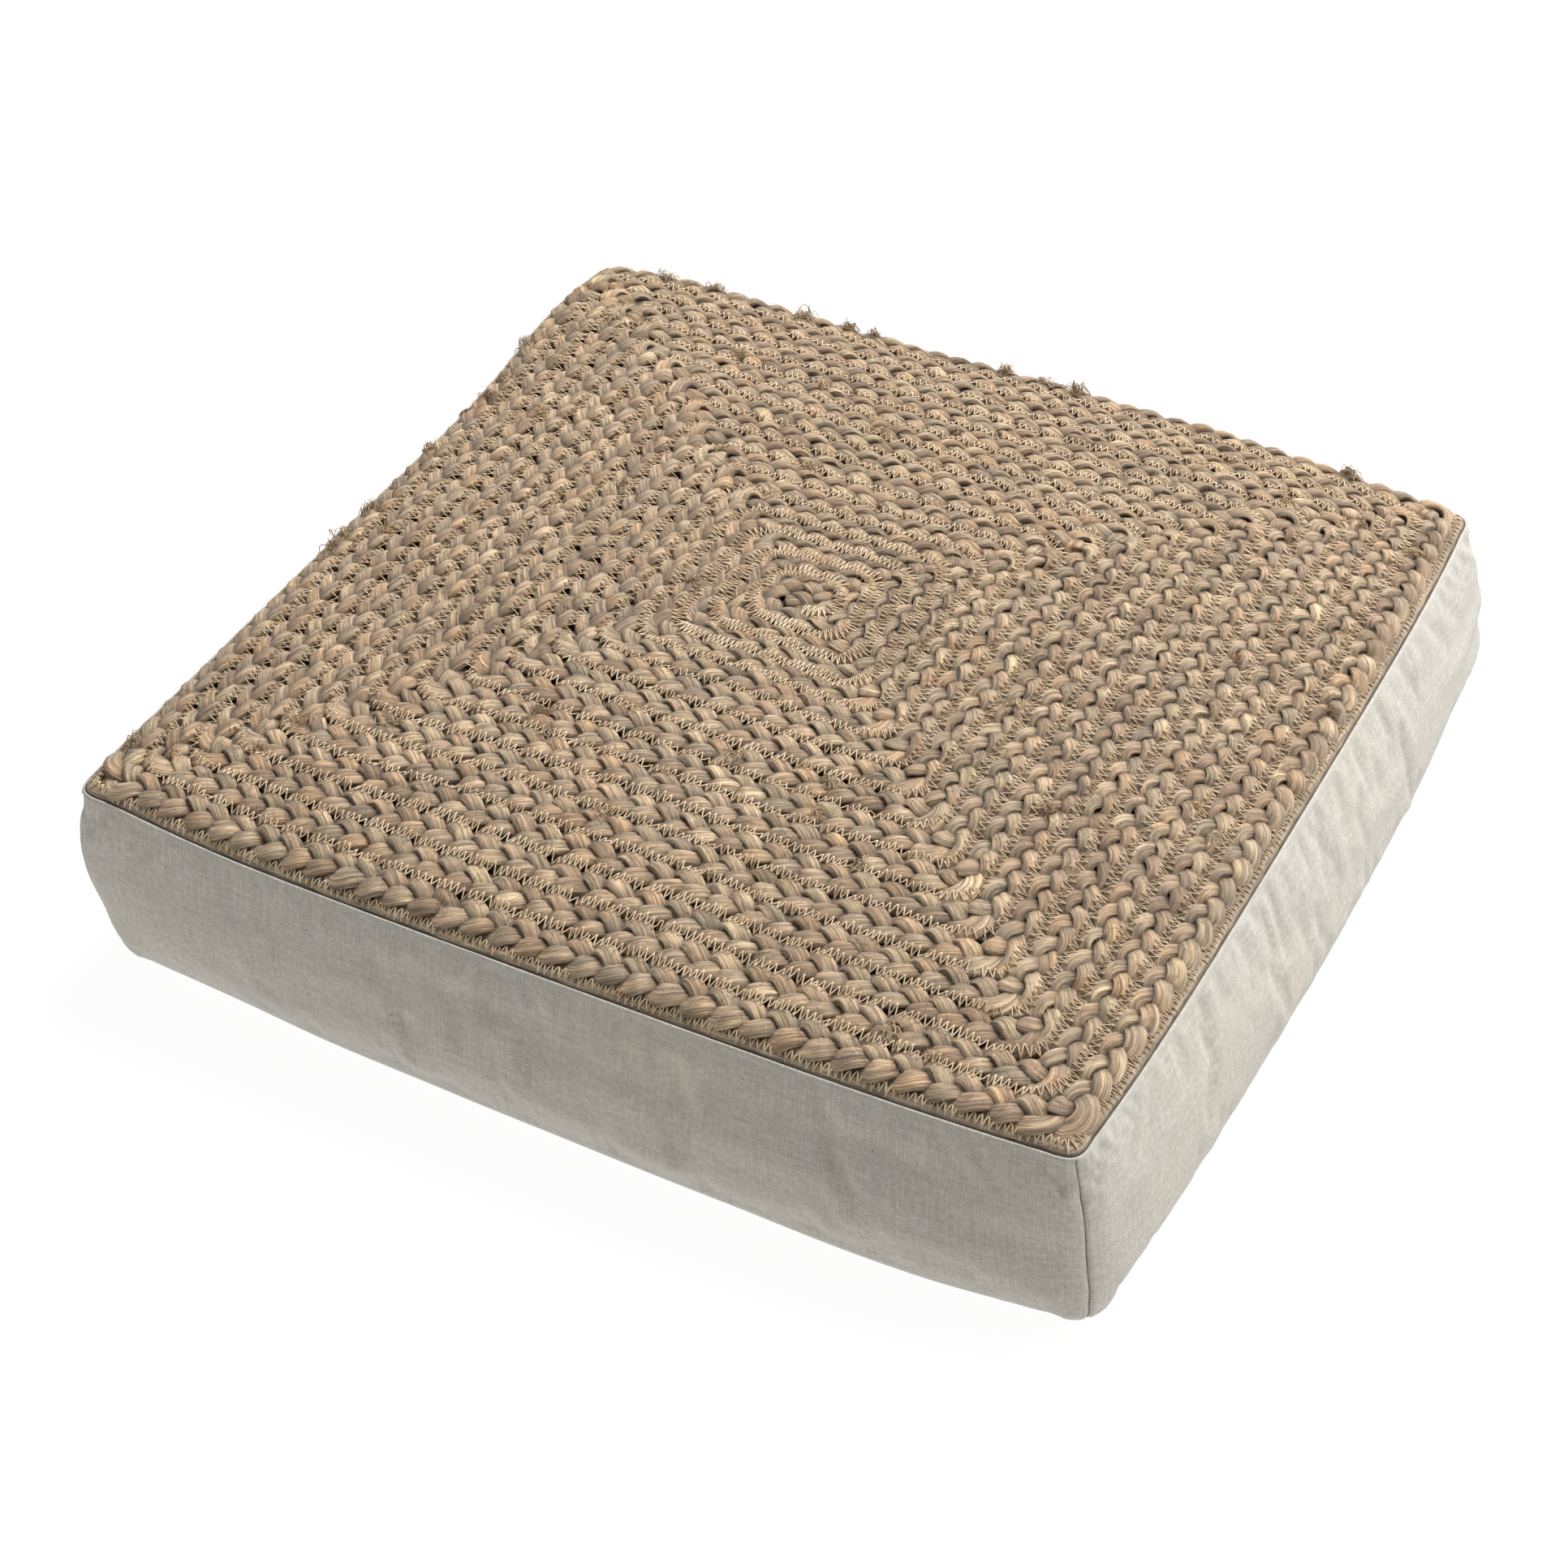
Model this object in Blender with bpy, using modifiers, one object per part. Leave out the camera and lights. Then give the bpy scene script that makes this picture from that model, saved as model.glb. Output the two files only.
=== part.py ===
"""Square floor cushion: braided jute top, canvas sides, zipped back band, fibre pad in its own case.

Metres, +Z up. The origin lies on the floor under the middle of the cushion and -Y is the front side.
"""
import math

import bmesh
import bpy
from mathutils import Vector

# The cover
WIDTH = 0.600
DEPTH = 0.600
SEAM_HEIGHT = 0.103
WAIST_HEIGHT = 0.056
CROWN = 0.013
WALL_BULGE = 0.004
BASE_ROUND = 0.028
TOP_CORNER_ROUND = 0.014
BASE_CORNER_ROUND = 0.034
CLOTH = 0.0010
FIT = 0.0004
PANEL_GAP = 0.0007

# The braid that is coiled into the top, and the thread that joins its rounds
BRAID_WIDTH = 0.0188
BRAID_THICKNESS = 0.008
BRAID_GAP = 0.0004
BRAID_LIFT = 0.0007
BRAID_INNER_TURN = 0.0022
BRAID_SHOULDER = 0.0034
BRAID_FOOT = 0.0020
STITCH_WIDTH = 0.0042
STITCH_THICKNESS = 0.0006
STITCH_HEIGHT = 0.0064
LONGEST_RUN = 0.09
TURN_STEPS = 3

# The pad inside the cover
PAD_ROOM = 0.005
CASE_CLOTH = 0.0008
PAD_STEPS_UP = 6

# The zip in the back band
ZIP_STOCK_STEP = 0.05
SLOT_CLEARANCE = 0.0015
ZIP_TAB_GAP = 0.0060
TAPE_WIDTH = 0.0150
TAPE_THICKNESS = 0.0006
TAPE_TAIL = 0.012
TAPE_EDGE = 0.0007
COIL_WIDTH = 0.0025
COIL_THICKNESS = 0.0018
COIL_EDGE = 0.00055
COIL_CLEARANCE = 0.0003
SLIDER_LENGTH = 0.012
SLIDER_WIDTH = 0.009
SLIDER_PLATE = 0.0010
SLIDER_LIP = 0.0009
SLIDER_WEB = 0.0004
SLIDER_CLEARANCE = 0.0006
BRIDGE_WIDTH = 0.0024
BRIDGE_INSIDE = 0.0020
BRIDGE_BAR = 0.0012
PULL_AXIS_HEIGHT = 0.0011
PULL_LENGTH = 0.026
PULL_WIDTH = 0.0066
PULL_THICKNESS = 0.0010
PULL_BAR = 0.0014
PULL_WINDOW = 0.0040
PULL_WINDOW_WIDTH = 0.0036
STOP_LENGTH = 0.004
STOP_OVERHANG = 0.0002
STOP_HEIGHT = 0.0029

# How finely the soft forms are divided
STRAIGHT_SHARE = 2 / 3
TOP_CELLS = 12
ROW_STEP = 0.008


# ---------------------------------------------------------------- scene and materials
def clear_scene():
    for item in list(bpy.context.scene.objects):
        bpy.data.objects.remove(item, do_unlink=True)


def collection(name):
    found = bpy.data.collections.new(name)
    bpy.context.scene.collection.children.link(found)
    return found


def material(name, colour, roughness, metallic=0.0):
    made = bpy.data.materials.new(name)
    made.use_nodes = True
    shader = made.node_tree.nodes["Principled BSDF"]
    shader.inputs["Base Color"].default_value = (*colour, 1.0)
    shader.inputs["Roughness"].default_value = roughness
    shader.inputs["Metallic"].default_value = metallic
    made.diffuse_color = (*colour, 1.0)
    return made


def place(name, mesh, look, parts, location=(0, 0, 0), parent=None):
    made = bpy.data.objects.new(name, mesh)
    mesh.materials.clear()
    mesh.materials.append(look)
    made.location = location
    made.parent = parent
    parts.objects.link(made)
    return made


# ---------------------------------------------------------------- the cushion's own form
def crown(x, y):
    """Height of the domed top over the seam."""
    across = x / (WIDTH / 2 - WALL_BULGE)
    along = y / (DEPTH / 2 - WALL_BULGE)
    return CROWN * max(0.0, 1 - across * across) * max(0.0, 1 - along * along)


def base_step(angle, side, floor):
    """A place on the rounded lower edge; the angle runs from the floor (0) to the upright wall (90)."""
    turn = math.radians(angle)
    inward = WALL_BULGE + BASE_ROUND - (BASE_ROUND - side) * math.sin(turn)
    return inward, BASE_ROUND - (BASE_ROUND - floor) * math.cos(turn)


def wall_step(height, side):
    """A place on the wall, which is widest at the waist."""
    if height > WAIST_HEIGHT:
        share = (height - WAIST_HEIGHT) / (SEAM_HEIGHT - WAIST_HEIGHT)
    else:
        share = (WAIST_HEIGHT - height) / (WAIST_HEIGHT - BASE_ROUND)
    return side + WALL_BULGE * share * share, height


def corner_round(height, side):
    share = height / SEAM_HEIGHT
    return BASE_CORNER_ROUND + (TOP_CORNER_ROUND - BASE_CORNER_ROUND) * share - side


def rim_point(share, half_run, reach, radius, gap=0.0):
    """A point on one side of a rounded square seen from above; share runs from corner to corner."""
    flat = half_run - radius
    if abs(share) <= STRAIGHT_SHARE:
        return flat * share / STRAIGHT_SHARE, -reach
    most = math.radians(45) - gap / 2 / (radius - CLOTH)
    turn = most * (abs(share) - STRAIGHT_SHARE) / (1 - STRAIGHT_SHARE)
    across = flat + radius * math.sin(turn)
    return math.copysign(across, share), -reach + radius * (1 - math.cos(turn))


def turned(side_index, x, y):
    """The point in the frame of the front side, turned to the right (1), back (2) or left (3) side."""
    if side_index == 1:
        return -y, x
    if side_index == 2:
        return -x, -y
    if side_index == 3:
        return y, -x
    return x, y


def halves(side_index, inward):
    """Half the run of a side and its distance from the middle."""
    half_x = WIDTH / 2 - inward
    half_y = DEPTH / 2 - inward
    if side_index % 2:
        return half_y, half_x
    return half_x, half_y


def grid(columns, rows):
    """A flat grid with one corner at (0, 0) and one vertex on each whole number."""
    made = bmesh.new()
    bmesh.ops.create_grid(made, x_segments=columns, y_segments=rows, size=1)
    for vertex in made.verts:
        vertex.co.x = round((vertex.co.x + 1) / 2 * columns)
        vertex.co.y = round((vertex.co.y + 1) / 2 * rows)
    return made


def finish_mesh(made, name, smooth=True):
    mesh = bpy.data.meshes.new(name)
    made.to_mesh(mesh)
    made.free()
    if smooth:
        mesh.shade_smooth()
        mesh.set_sharp_from_angle(angle=math.radians(40))
    return mesh


def solidify(item, thickness):
    shell = item.modifiers.new("thickness", "SOLIDIFY")
    shell.thickness = thickness
    shell.offset = -1
    shell.use_even_offset = True


def wall_patch(name, side_index, columns, rows, side, thickness, look, parts):
    """A piece of cloth on one wall. Columns are places along the side, rows are steps up the wall."""
    made = grid(len(columns) - 1, len(rows) - 1)
    for vertex in made.verts:
        inward, height = rows[int(vertex.co.y)]
        half_run, reach = halves(side_index, inward)
        radius = corner_round(height, side)
        column = columns[int(vertex.co.x)]
        if column[0] == "at":
            x, y = column[1], -reach
        else:
            x, y = rim_point(column[1], half_run, reach, radius, PANEL_GAP)
        vertex.co.x, vertex.co.y = turned(side_index, x, y)
        vertex.co.z = height
    item = place(name, finish_mesh(made, name), look, parts)
    solidify(item, thickness)
    return item


def spread(low, high, count):
    return [low + (high - low) * step / count for step in range(count + 1)]


def base_rows():
    """Steps from the floor round the lower edge to the foot of the wall."""
    return [base_step(angle, 0.0, 0.0) for angle in spread(0, 90, 5)][:-1]


def wall_rows(low, high, side=0.0):
    """Steps up the wall, one of them at the waist if it lies between."""
    if low < WAIST_HEIGHT < high:
        return wall_rows(low, WAIST_HEIGHT, side)[:-1] + wall_rows(WAIST_HEIGHT, high, side)
    count = max(1, math.ceil((high - low) / ROW_STEP - 1e-6))
    return [wall_step(height, side) for height in spread(low, high, count)]


def corner_columns(sign):
    return [("share", sign * share) for share in spread(STRAIGHT_SHARE, 1, 3)]


# ---------------------------------------------------------------- canvas cover
def side_panel(name, side_index, look, parts):
    columns = corner_columns(-1)[::-1]
    columns += [("share", share) for share in spread(-STRAIGHT_SHARE, STRAIGHT_SHARE, 4)[1:-1]]
    columns += corner_columns(1)
    rows = base_rows() + wall_rows(BASE_ROUND, SEAM_HEIGHT)
    return wall_patch(name, side_index, columns, rows, 0.0, CLOTH, look, parts)


def zip_half_length():
    """Zips are sold in fixed steps; the longest that stops short of both rounded corners is used."""
    corner = WALL_BULGE + BASE_ROUND + BASE_CORNER_ROUND
    room = WIDTH - 2 * (corner + ZIP_TAB_GAP + PANEL_GAP + FIT)
    return math.floor(room / ZIP_STOCK_STEP + 1e-6) * ZIP_STOCK_STEP / 2


def back_band(look, parts):
    """Two strips with the zip between them, and a tab at each end that closes the band to the corner."""
    half = zip_half_length() + ZIP_TAB_GAP
    slot = SLIDER_WIDTH / 2 + SLOT_CLEARANCE
    strip = [("at", x) for x in spread(-half, half, 4)]
    low_rows = base_rows() + wall_rows(BASE_ROUND, WAIST_HEIGHT - slot)
    high_rows = wall_rows(WAIST_HEIGHT + slot, SEAM_HEIGHT)
    wall_patch("back_strip_lower", 2, strip, low_rows, 0.0, CLOTH, look, parts)
    wall_patch("back_strip_upper", 2, strip, high_rows, 0.0, CLOTH, look, parts)
    rows = base_rows() + wall_rows(BASE_ROUND, SEAM_HEIGHT)
    start = half + PANEL_GAP
    wall_patch("back_tab_left", 2, [("at", start)] + corner_columns(1), rows, 0.0, CLOTH, look, parts)
    left_columns = corner_columns(-1)[::-1] + [("at", -start)]
    wall_patch("back_tab_right", 2, left_columns, rows, 0.0, CLOTH, look, parts)


def outline(half_x, half_y, radius):
    points = []
    for side_index in range(4):
        half_run, reach = (half_x, half_y) if side_index % 2 == 0 else (half_y, half_x)
        for share in spread(-1, 1, 12)[:-1]:
            x, y = rim_point(share, half_run, reach, radius)
            points.append(turned(side_index, x, y))
    return points


def flat_sheet(name, points, low, thickness, look, parts):
    curve = bpy.data.curves.new(name, "CURVE")
    curve.dimensions = "2D"
    curve.fill_mode = "BOTH"
    curve.extrude = thickness / 2
    spline = curve.splines.new("POLY")
    spline.points.add(len(points) - 1)
    for point, (x, y) in zip(spline.points, points):
        point.co = (x, y, 0, 1)
    spline.use_cyclic_u = True
    curve.materials.append(look)
    item = bpy.data.objects.new(name, curve)
    item.location.z = low + thickness / 2
    parts.objects.link(item)
    return item


def bottom_panel(look, parts):
    inward = WALL_BULGE + BASE_ROUND + PANEL_GAP
    points = outline(WIDTH / 2 - inward, DEPTH / 2 - inward, BASE_CORNER_ROUND - PANEL_GAP)
    return flat_sheet("bottom_panel", points, 0.0, CLOTH, look, parts)


def domed_sheet(name, inward, top, thickness, look, parts):
    """A sheet over the whole top, which follows the crown."""
    made = grid(TOP_CELLS, TOP_CELLS)
    radius = corner_round(SEAM_HEIGHT, inward - WALL_BULGE)
    for vertex in made.verts:
        across = vertex.co.x / TOP_CELLS * 2 - 1
        along = vertex.co.y / TOP_CELLS * 2 - 1
        x, y = square_to_plan(across, along, inward, radius)
        vertex.co = (x, y, top + crown(x, y))
    item = place(name, finish_mesh(made, name), look, parts)
    solidify(item, thickness)
    return item


def square_to_plan(across, along, inward, radius):
    """Maps the square from -1 to 1 onto the cushion's rounded square."""
    size = max(abs(across), abs(along))
    if size < 1e-9:
        return 0.0, 0.0
    if abs(along) >= abs(across):
        side_index = 0 if along < 0 else 2
        share = across / size if along < 0 else -across / size
    else:
        side_index = 1 if across > 0 else 3
        share = along / size if across > 0 else -along / size
    half_run, reach = halves(side_index, inward)
    x, y = turned(side_index, *rim_point(share, half_run, reach, radius))
    return x * size, y * size


# ---------------------------------------------------------------- braided top
RUNS = ((1, 0), (0, 1), (-1, 0), (0, -1))


def turn_radius():
    """Radius of the braid's centre line at a corner; its inner edge turns on the named radius."""
    return BRAID_INNER_TURN + BRAID_WIDTH / 2


def coil_frame():
    """The coil's pitch, its number of sides, the distance of the first one and the slack in X and Y."""
    pitch = BRAID_WIDTH + BRAID_GAP
    half_x = WIDTH / 2 - WALL_BULGE - BRAID_WIDTH / 2
    half_y = DEPTH / 2 - WALL_BULGE - BRAID_WIDTH / 2
    rim = min(half_x + pitch / 2, half_y + pitch / 4)
    tightest = turn_radius() - pitch / 4 + BRAID_GAP
    sides = math.floor((rim - tightest) / (pitch / 4)) + 1
    heart = rim - pitch * (sides - 1) / 4
    return pitch, sides, heart, half_x - rim + pitch / 2, half_y - rim + pitch / 4


def run_of(index, sides):
    """The way a side runs; the last one is the back, from right to left."""
    return RUNS[(index - sides + 3) % 4]


def line_of(index, offset):
    """The fixed coordinate of a side of the coil: x of a left or right side, y of a front or back one."""
    pitch, sides, heart, slack_x, slack_y = coil_frame()
    reach = heart + pitch * index / 4 + offset
    run = run_of(index, sides)
    if run == (1, 0):
        return -(reach + pitch / 4 + slack_y)
    if run == (0, 1):
        return reach - pitch / 4 + slack_x
    if run == (-1, 0):
        return reach - pitch / 4 + slack_y
    return -(reach + pitch / 4 + slack_x)


def crossing(index, offset):
    """The corner where a side of the coil meets the next one."""
    here, after = line_of(index, offset), line_of(index + 1, offset)
    if run_of(index, coil_frame()[1])[0]:
        return Vector((after, here, 0))
    return Vector((here, after, 0))


def coil_path(count, offset, radius, tail):
    """Points along the coil: straight sides with rounded corners. The tail is where the last side ends.

    A line beside the braid starts short of the side that it would meet at the heart.
    """
    sides = coil_frame()[1]
    place_now = crossing(-1, offset) + Vector((*run_of(0, sides), 0)) * offset / 2
    points = [place_now.copy()]
    for index in range(count):
        run = Vector((*run_of(index, sides), 0))
        turn = Vector((*run_of(index + 1, sides), 0))
        last = index == count - 1
        corner = Vector((tail, line_of(index, offset), 0)) if last else crossing(index, offset)
        stop = corner if last else corner - run * radius
        steps = max(1, math.ceil((stop - place_now).length / LONGEST_RUN))
        points += [place_now.lerp(stop, step / steps) for step in range(1, steps + 1)]
        if last:
            break
        centre = stop + turn * radius
        for step in range(1, TURN_STEPS + 1):
            angle = math.radians(90 * step / TURN_STEPS)
            points.append(centre + (run * math.sin(angle) - turn * math.cos(angle)) * radius)
        place_now = points[-1]
    return points


def swept(name, points, section, look, parts):
    """A flat section swept along a level path, then draped over the crown."""
    outline_curve = bpy.data.curves.new(name + "_section", "CURVE")
    outline_curve.dimensions = "2D"
    rim = outline_curve.splines.new("POLY")
    rim.points.add(len(section) - 1)
    for point, (across, up) in zip(rim.points, section):
        point.co = (across, up, 0, 1)
    rim.use_cyclic_u = True
    guide = bpy.data.objects.new(name + "_section", outline_curve)
    parts.objects.link(guide)
    path = bpy.data.curves.new(name, "CURVE")
    path.dimensions = "3D"
    path.twist_mode = "Z_UP"
    path.bevel_mode = "OBJECT"
    path.bevel_object = guide
    path.use_fill_caps = True
    line = path.splines.new("POLY")
    line.points.add(len(points) - 1)
    for point, where in zip(line.points, points):
        point.co = (*where, 1)
    rough = bpy.data.objects.new(name + "_path", path)
    parts.objects.link(rough)
    bpy.context.view_layer.update()
    graph = bpy.context.evaluated_depsgraph_get()
    mesh = bpy.data.meshes.new_from_object(rough.evaluated_get(graph))
    bpy.data.objects.remove(rough)
    bpy.data.objects.remove(guide)
    body = bmesh.new()
    body.from_mesh(mesh)
    bmesh.ops.remove_doubles(body, verts=body.verts, dist=0.00001)
    bmesh.ops.recalc_face_normals(body, faces=body.faces)
    for vertex in body.verts:
        vertex.co.z += SEAM_HEIGHT + BRAID_LIFT + crown(vertex.co.x, vertex.co.y)
    return place(name, finish_mesh(body, name), look, parts)


def braid(look, parts):
    half = BRAID_WIDTH / 2
    top = BRAID_THICKNESS
    section = [(-half, BRAID_FOOT), (-half + BRAID_FOOT, 0), (half - BRAID_FOOT, 0), (half, BRAID_FOOT),
               (half - BRAID_SHOULDER, top), (-half + BRAID_SHOULDER, top)]
    end = -(WIDTH / 2 - WALL_BULGE)
    return swept("jute_braid", coil_path(coil_frame()[1], 0, turn_radius(), end), section, look, parts)


def round_stitching(look, parts):
    """The zigzag thread between the rounds, as the thin band it lies in."""
    pitch, sides = coil_frame()[:2]
    half = STITCH_WIDTH / 2
    low, high = STITCH_HEIGHT, STITCH_HEIGHT + STITCH_THICKNESS
    section = [(-half, low), (half, low), (half, high), (-half, high)]
    end = -(WIDTH / 2 - WALL_BULGE - BRAID_WIDTH / 2)
    points = coil_path(sides - 4, pitch / 2, turn_radius() + pitch / 2, end)
    return swept("round_stitching", points, section, look, parts)


# ---------------------------------------------------------------- pad
def upright(edge):
    return abs(edge.verts[0].co.z - edge.verts[1].co.z) > 1e-6


def soft_block(inward, floor, top, low_share=-1.0, high_share=1.0):
    """The cushion's form, set in from the cover, made from a divided cube.

    Only the faces between the two shares of its height are kept, so the whole block is closed and a
    part of it is an open bowl.
    """
    made = bmesh.new()
    bmesh.ops.create_cube(made, size=2)
    posts = [edge for edge in made.edges if upright(edge)]
    bmesh.ops.subdivide_edges(made, edges=posts, cuts=PAD_STEPS_UP - 1, use_grid_fill=True)
    beams = [edge for edge in made.edges if not upright(edge)]
    bmesh.ops.subdivide_edges(made, edges=beams, cuts=TOP_CELLS - 1, use_grid_fill=True)
    outside = [face for face in made.faces
               if not low_share - 1e-6 < face.calc_center_median().z < high_share + 1e-6]
    bmesh.ops.delete(made, geom=outside, context="FACES")
    ceiling = SEAM_HEIGHT - top
    for vertex in made.verts:
        across, along, up = vertex.co
        if up < -1 / 3 + 1e-6:
            share, height = base_step(90 * (up + 1) * 1.5, inward, floor)
        else:
            share, height = wall_step(BASE_ROUND + (ceiling - BASE_ROUND) * (up + 1 / 3) * 0.75, inward)
        x, y = square_to_plan(across, along, share, corner_round(height, inward))
        if up > 1 - 1e-6:
            height += crown(x, y)
        vertex.co = (x, y, height)
    return made


def pad(case_look, fill_look, parts):
    floor = CLOTH + FIT
    rest = soft_block(PAD_ROOM, floor, floor, 0.0, 1.0)
    for vertex in rest.verts:
        if vertex.is_boundary:
            vertex.co.z += FIT
    upper = place("case_upper", finish_mesh(rest, "case_upper"), case_look, parts)
    solidify(upper, CASE_CLOTH)
    rest = soft_block(PAD_ROOM, floor, floor, -1.0, 0.0)
    for vertex in rest.verts:
        if vertex.is_boundary:
            vertex.co.z -= FIT
    lower = place("case_lower", finish_mesh(rest, "case_lower"), case_look, parts)
    solidify(lower, CASE_CLOTH)
    inner = floor + CASE_CLOTH + FIT
    fill = soft_block(PAD_ROOM + CASE_CLOTH + FIT, inner, inner)
    place("fibre_fill", finish_mesh(fill, "fibre_fill"), fill_look, parts)


# ---------------------------------------------------------------- zip
def back_face():
    """Y of the back band's outer face at the waist, where the zip runs."""
    return DEPTH / 2


def box(name, size, centre, look, parts, parent=None, round_edge=0.0):
    made = bmesh.new()
    bmesh.ops.create_cube(made, size=1)
    bmesh.ops.scale(made, vec=size, verts=made.verts)
    item = place(name, finish_mesh(made, name, smooth=False), look, parts, centre, parent)
    if round_edge:
        bevel = item.modifiers.new("rounded", "BEVEL")
        bevel.width = round_edge
        bevel.segments = 1
    return item


def tapes(look, parts):
    half = zip_half_length() + TAPE_TAIL
    columns = [("at", x) for x in spread(-half, half, 4)]
    inset = CLOTH + FIT
    low, high = WAIST_HEIGHT - TAPE_EDGE - TAPE_WIDTH, WAIST_HEIGHT + TAPE_EDGE + TAPE_WIDTH
    below = wall_rows(low, WAIST_HEIGHT - TAPE_EDGE, inset)
    above = wall_rows(WAIST_HEIGHT + TAPE_EDGE, high, inset)
    wall_patch("zip_tape_lower", 2, columns, below, inset, TAPE_THICKNESS, look, parts)
    wall_patch("zip_tape_upper", 2, columns, above, inset, TAPE_THICKNESS, look, parts)


def coil_middle():
    """Y of the middle of the coil, which lies on the outer face of the tapes."""
    return back_face() - CLOTH - FIT + COIL_CLEARANCE + COIL_THICKNESS / 2


def coils(look, parts):
    size = (2 * zip_half_length(), COIL_THICKNESS, COIL_WIDTH)
    for name, sign in (("zip_coil_lower", -1), ("zip_coil_upper", 1)):
        height = WAIST_HEIGHT + sign * (COIL_EDGE + COIL_WIDTH / 2)
        box(name, size, (0, coil_middle(), height), look, parts, round_edge=0.0005)


def stops(look, parts):
    """Two stops beside each other where the zip closes (+X) and one across both tapes where it opens."""
    low = back_face() - CLOTH - FIT + COIL_CLEARANCE
    middle = low + STOP_HEIGHT / 2
    tall = COIL_WIDTH + STOP_OVERHANG
    x = zip_half_length() + FIT + STOP_LENGTH / 2
    for name, sign in (("zip_stop_closed_lower", -1), ("zip_stop_closed_upper", 1)):
        height = WAIST_HEIGHT + sign * (COIL_EDGE + tall / 2)
        size = (STOP_LENGTH, STOP_HEIGHT, tall)
        box(name, size, (x, middle, height), look, parts, round_edge=0.0003)
    size = (STOP_LENGTH, STOP_HEIGHT, 2 * (COIL_EDGE + tall))
    box("zip_stop_open", size, (-x, middle, WAIST_HEIGHT), look, parts, round_edge=0.0003)


def slab(name, loops, thickness, look, parts, parent):
    """A flat outline with its holes, extruded to a thickness and made a mesh."""
    curve = bpy.data.curves.new(name, "CURVE")
    curve.dimensions = "2D"
    curve.fill_mode = "BOTH"
    curve.extrude = thickness / 2
    for loop in loops:
        spline = curve.splines.new("POLY")
        spline.points.add(len(loop) - 1)
        for point, (x, y) in zip(spline.points, loop):
            point.co = (x, y, 0, 1)
        spline.use_cyclic_u = True
    rough = bpy.data.objects.new(name + "_outline", curve)
    parts.objects.link(rough)
    bpy.context.view_layer.update()
    graph = bpy.context.evaluated_depsgraph_get()
    mesh = bpy.data.meshes.new_from_object(rough.evaluated_get(graph))
    bpy.data.objects.remove(rough)
    body = bmesh.new()
    body.from_mesh(mesh)
    bmesh.ops.remove_doubles(body, verts=body.verts, dist=0.000001)
    return place(name, finish_mesh(body, name, smooth=False), look, parts, parent=parent)


def slider_section():
    """The slider cut across the zip: X here is up the wall and Y is out of it, from the band's face.

    Returns the outline and the height of the outer plate's face.
    """
    half = SLIDER_WIDTH / 2
    web = SLIDER_WEB / 2
    coil_top = coil_middle() + COIL_THICKNESS / 2 - back_face()
    coil_foot = coil_top - COIL_THICKNESS
    roof = coil_top + SLIDER_CLEARANCE
    face = roof + SLIDER_PLATE
    under = -CLOTH - FIT - TAPE_THICKNESS - SLIDER_CLEARANCE
    right = [(half, under - SLIDER_PLATE), (half, under), (web, under), (web, roof),
             (half - SLIDER_LIP, roof), (half - SLIDER_LIP, coil_foot + COIL_CLEARANCE),
             (half, coil_foot + COIL_CLEARANCE), (half, face)]
    left = [(-x, y) for x, y in reversed(right)]
    return right + left, face


def slider(look, parts, cutters, carriage):
    """Two plates on a thin web that passes between the coils, and a bridge that holds the pull."""
    section, face = slider_section()
    axis = face + PULL_AXIS_HEIGHT
    ceiling = axis + PULL_BAR
    outside = BRIDGE_INSIDE + BRIDGE_BAR
    sunk = face - SLIDER_PLATE / 2
    arch = [(-outside, sunk), (-BRIDGE_INSIDE, sunk), (-BRIDGE_INSIDE, ceiling),
            (BRIDGE_INSIDE, ceiling), (BRIDGE_INSIDE, sunk), (outside, sunk),
            (outside, ceiling + BRIDGE_BAR), (-outside, ceiling + BRIDGE_BAR)]
    bridge = slab("bridge", [arch], BRIDGE_WIDTH, look, cutters, carriage)
    bridge.hide_render = True
    bridge.display_type = "WIRE"
    body = slab("zip_slider", [section], SLIDER_LENGTH, look, parts, carriage)
    body.rotation_euler.y = math.radians(-90)
    union = body.modifiers.new("bridge", "BOOLEAN")
    union.operation = "UNION"
    union.solver = "EXACT"
    union.object = bridge
    return axis


def pull(look, parts, carriage, axis):
    """A flat tab whose end bar turns under the bridge. Its origin is on the bar's axis."""
    half = PULL_WIDTH / 2
    bar = PULL_BAR / 2
    cut = half / 2
    side = PULL_WINDOW_WIDTH / 2
    rim = [(bar, -half), (bar, half), (-PULL_LENGTH + cut, half), (-PULL_LENGTH, half - cut),
           (-PULL_LENGTH, -half + cut), (-PULL_LENGTH + cut, -half)]
    window = [(-bar, -side), (-bar, side), (-bar - PULL_WINDOW, side), (-bar - PULL_WINDOW, -side)]
    item = slab("zip_pull", [rim, window], PULL_THICKNESS, look, parts, carriage)
    item.location.y = axis
    item.rotation_euler.x = math.radians(90)


def zip_closed_place():
    """X of the slider's middle with the zip closed."""
    return zip_half_length() - SLIDER_LENGTH / 2 - COIL_CLEARANCE


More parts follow.
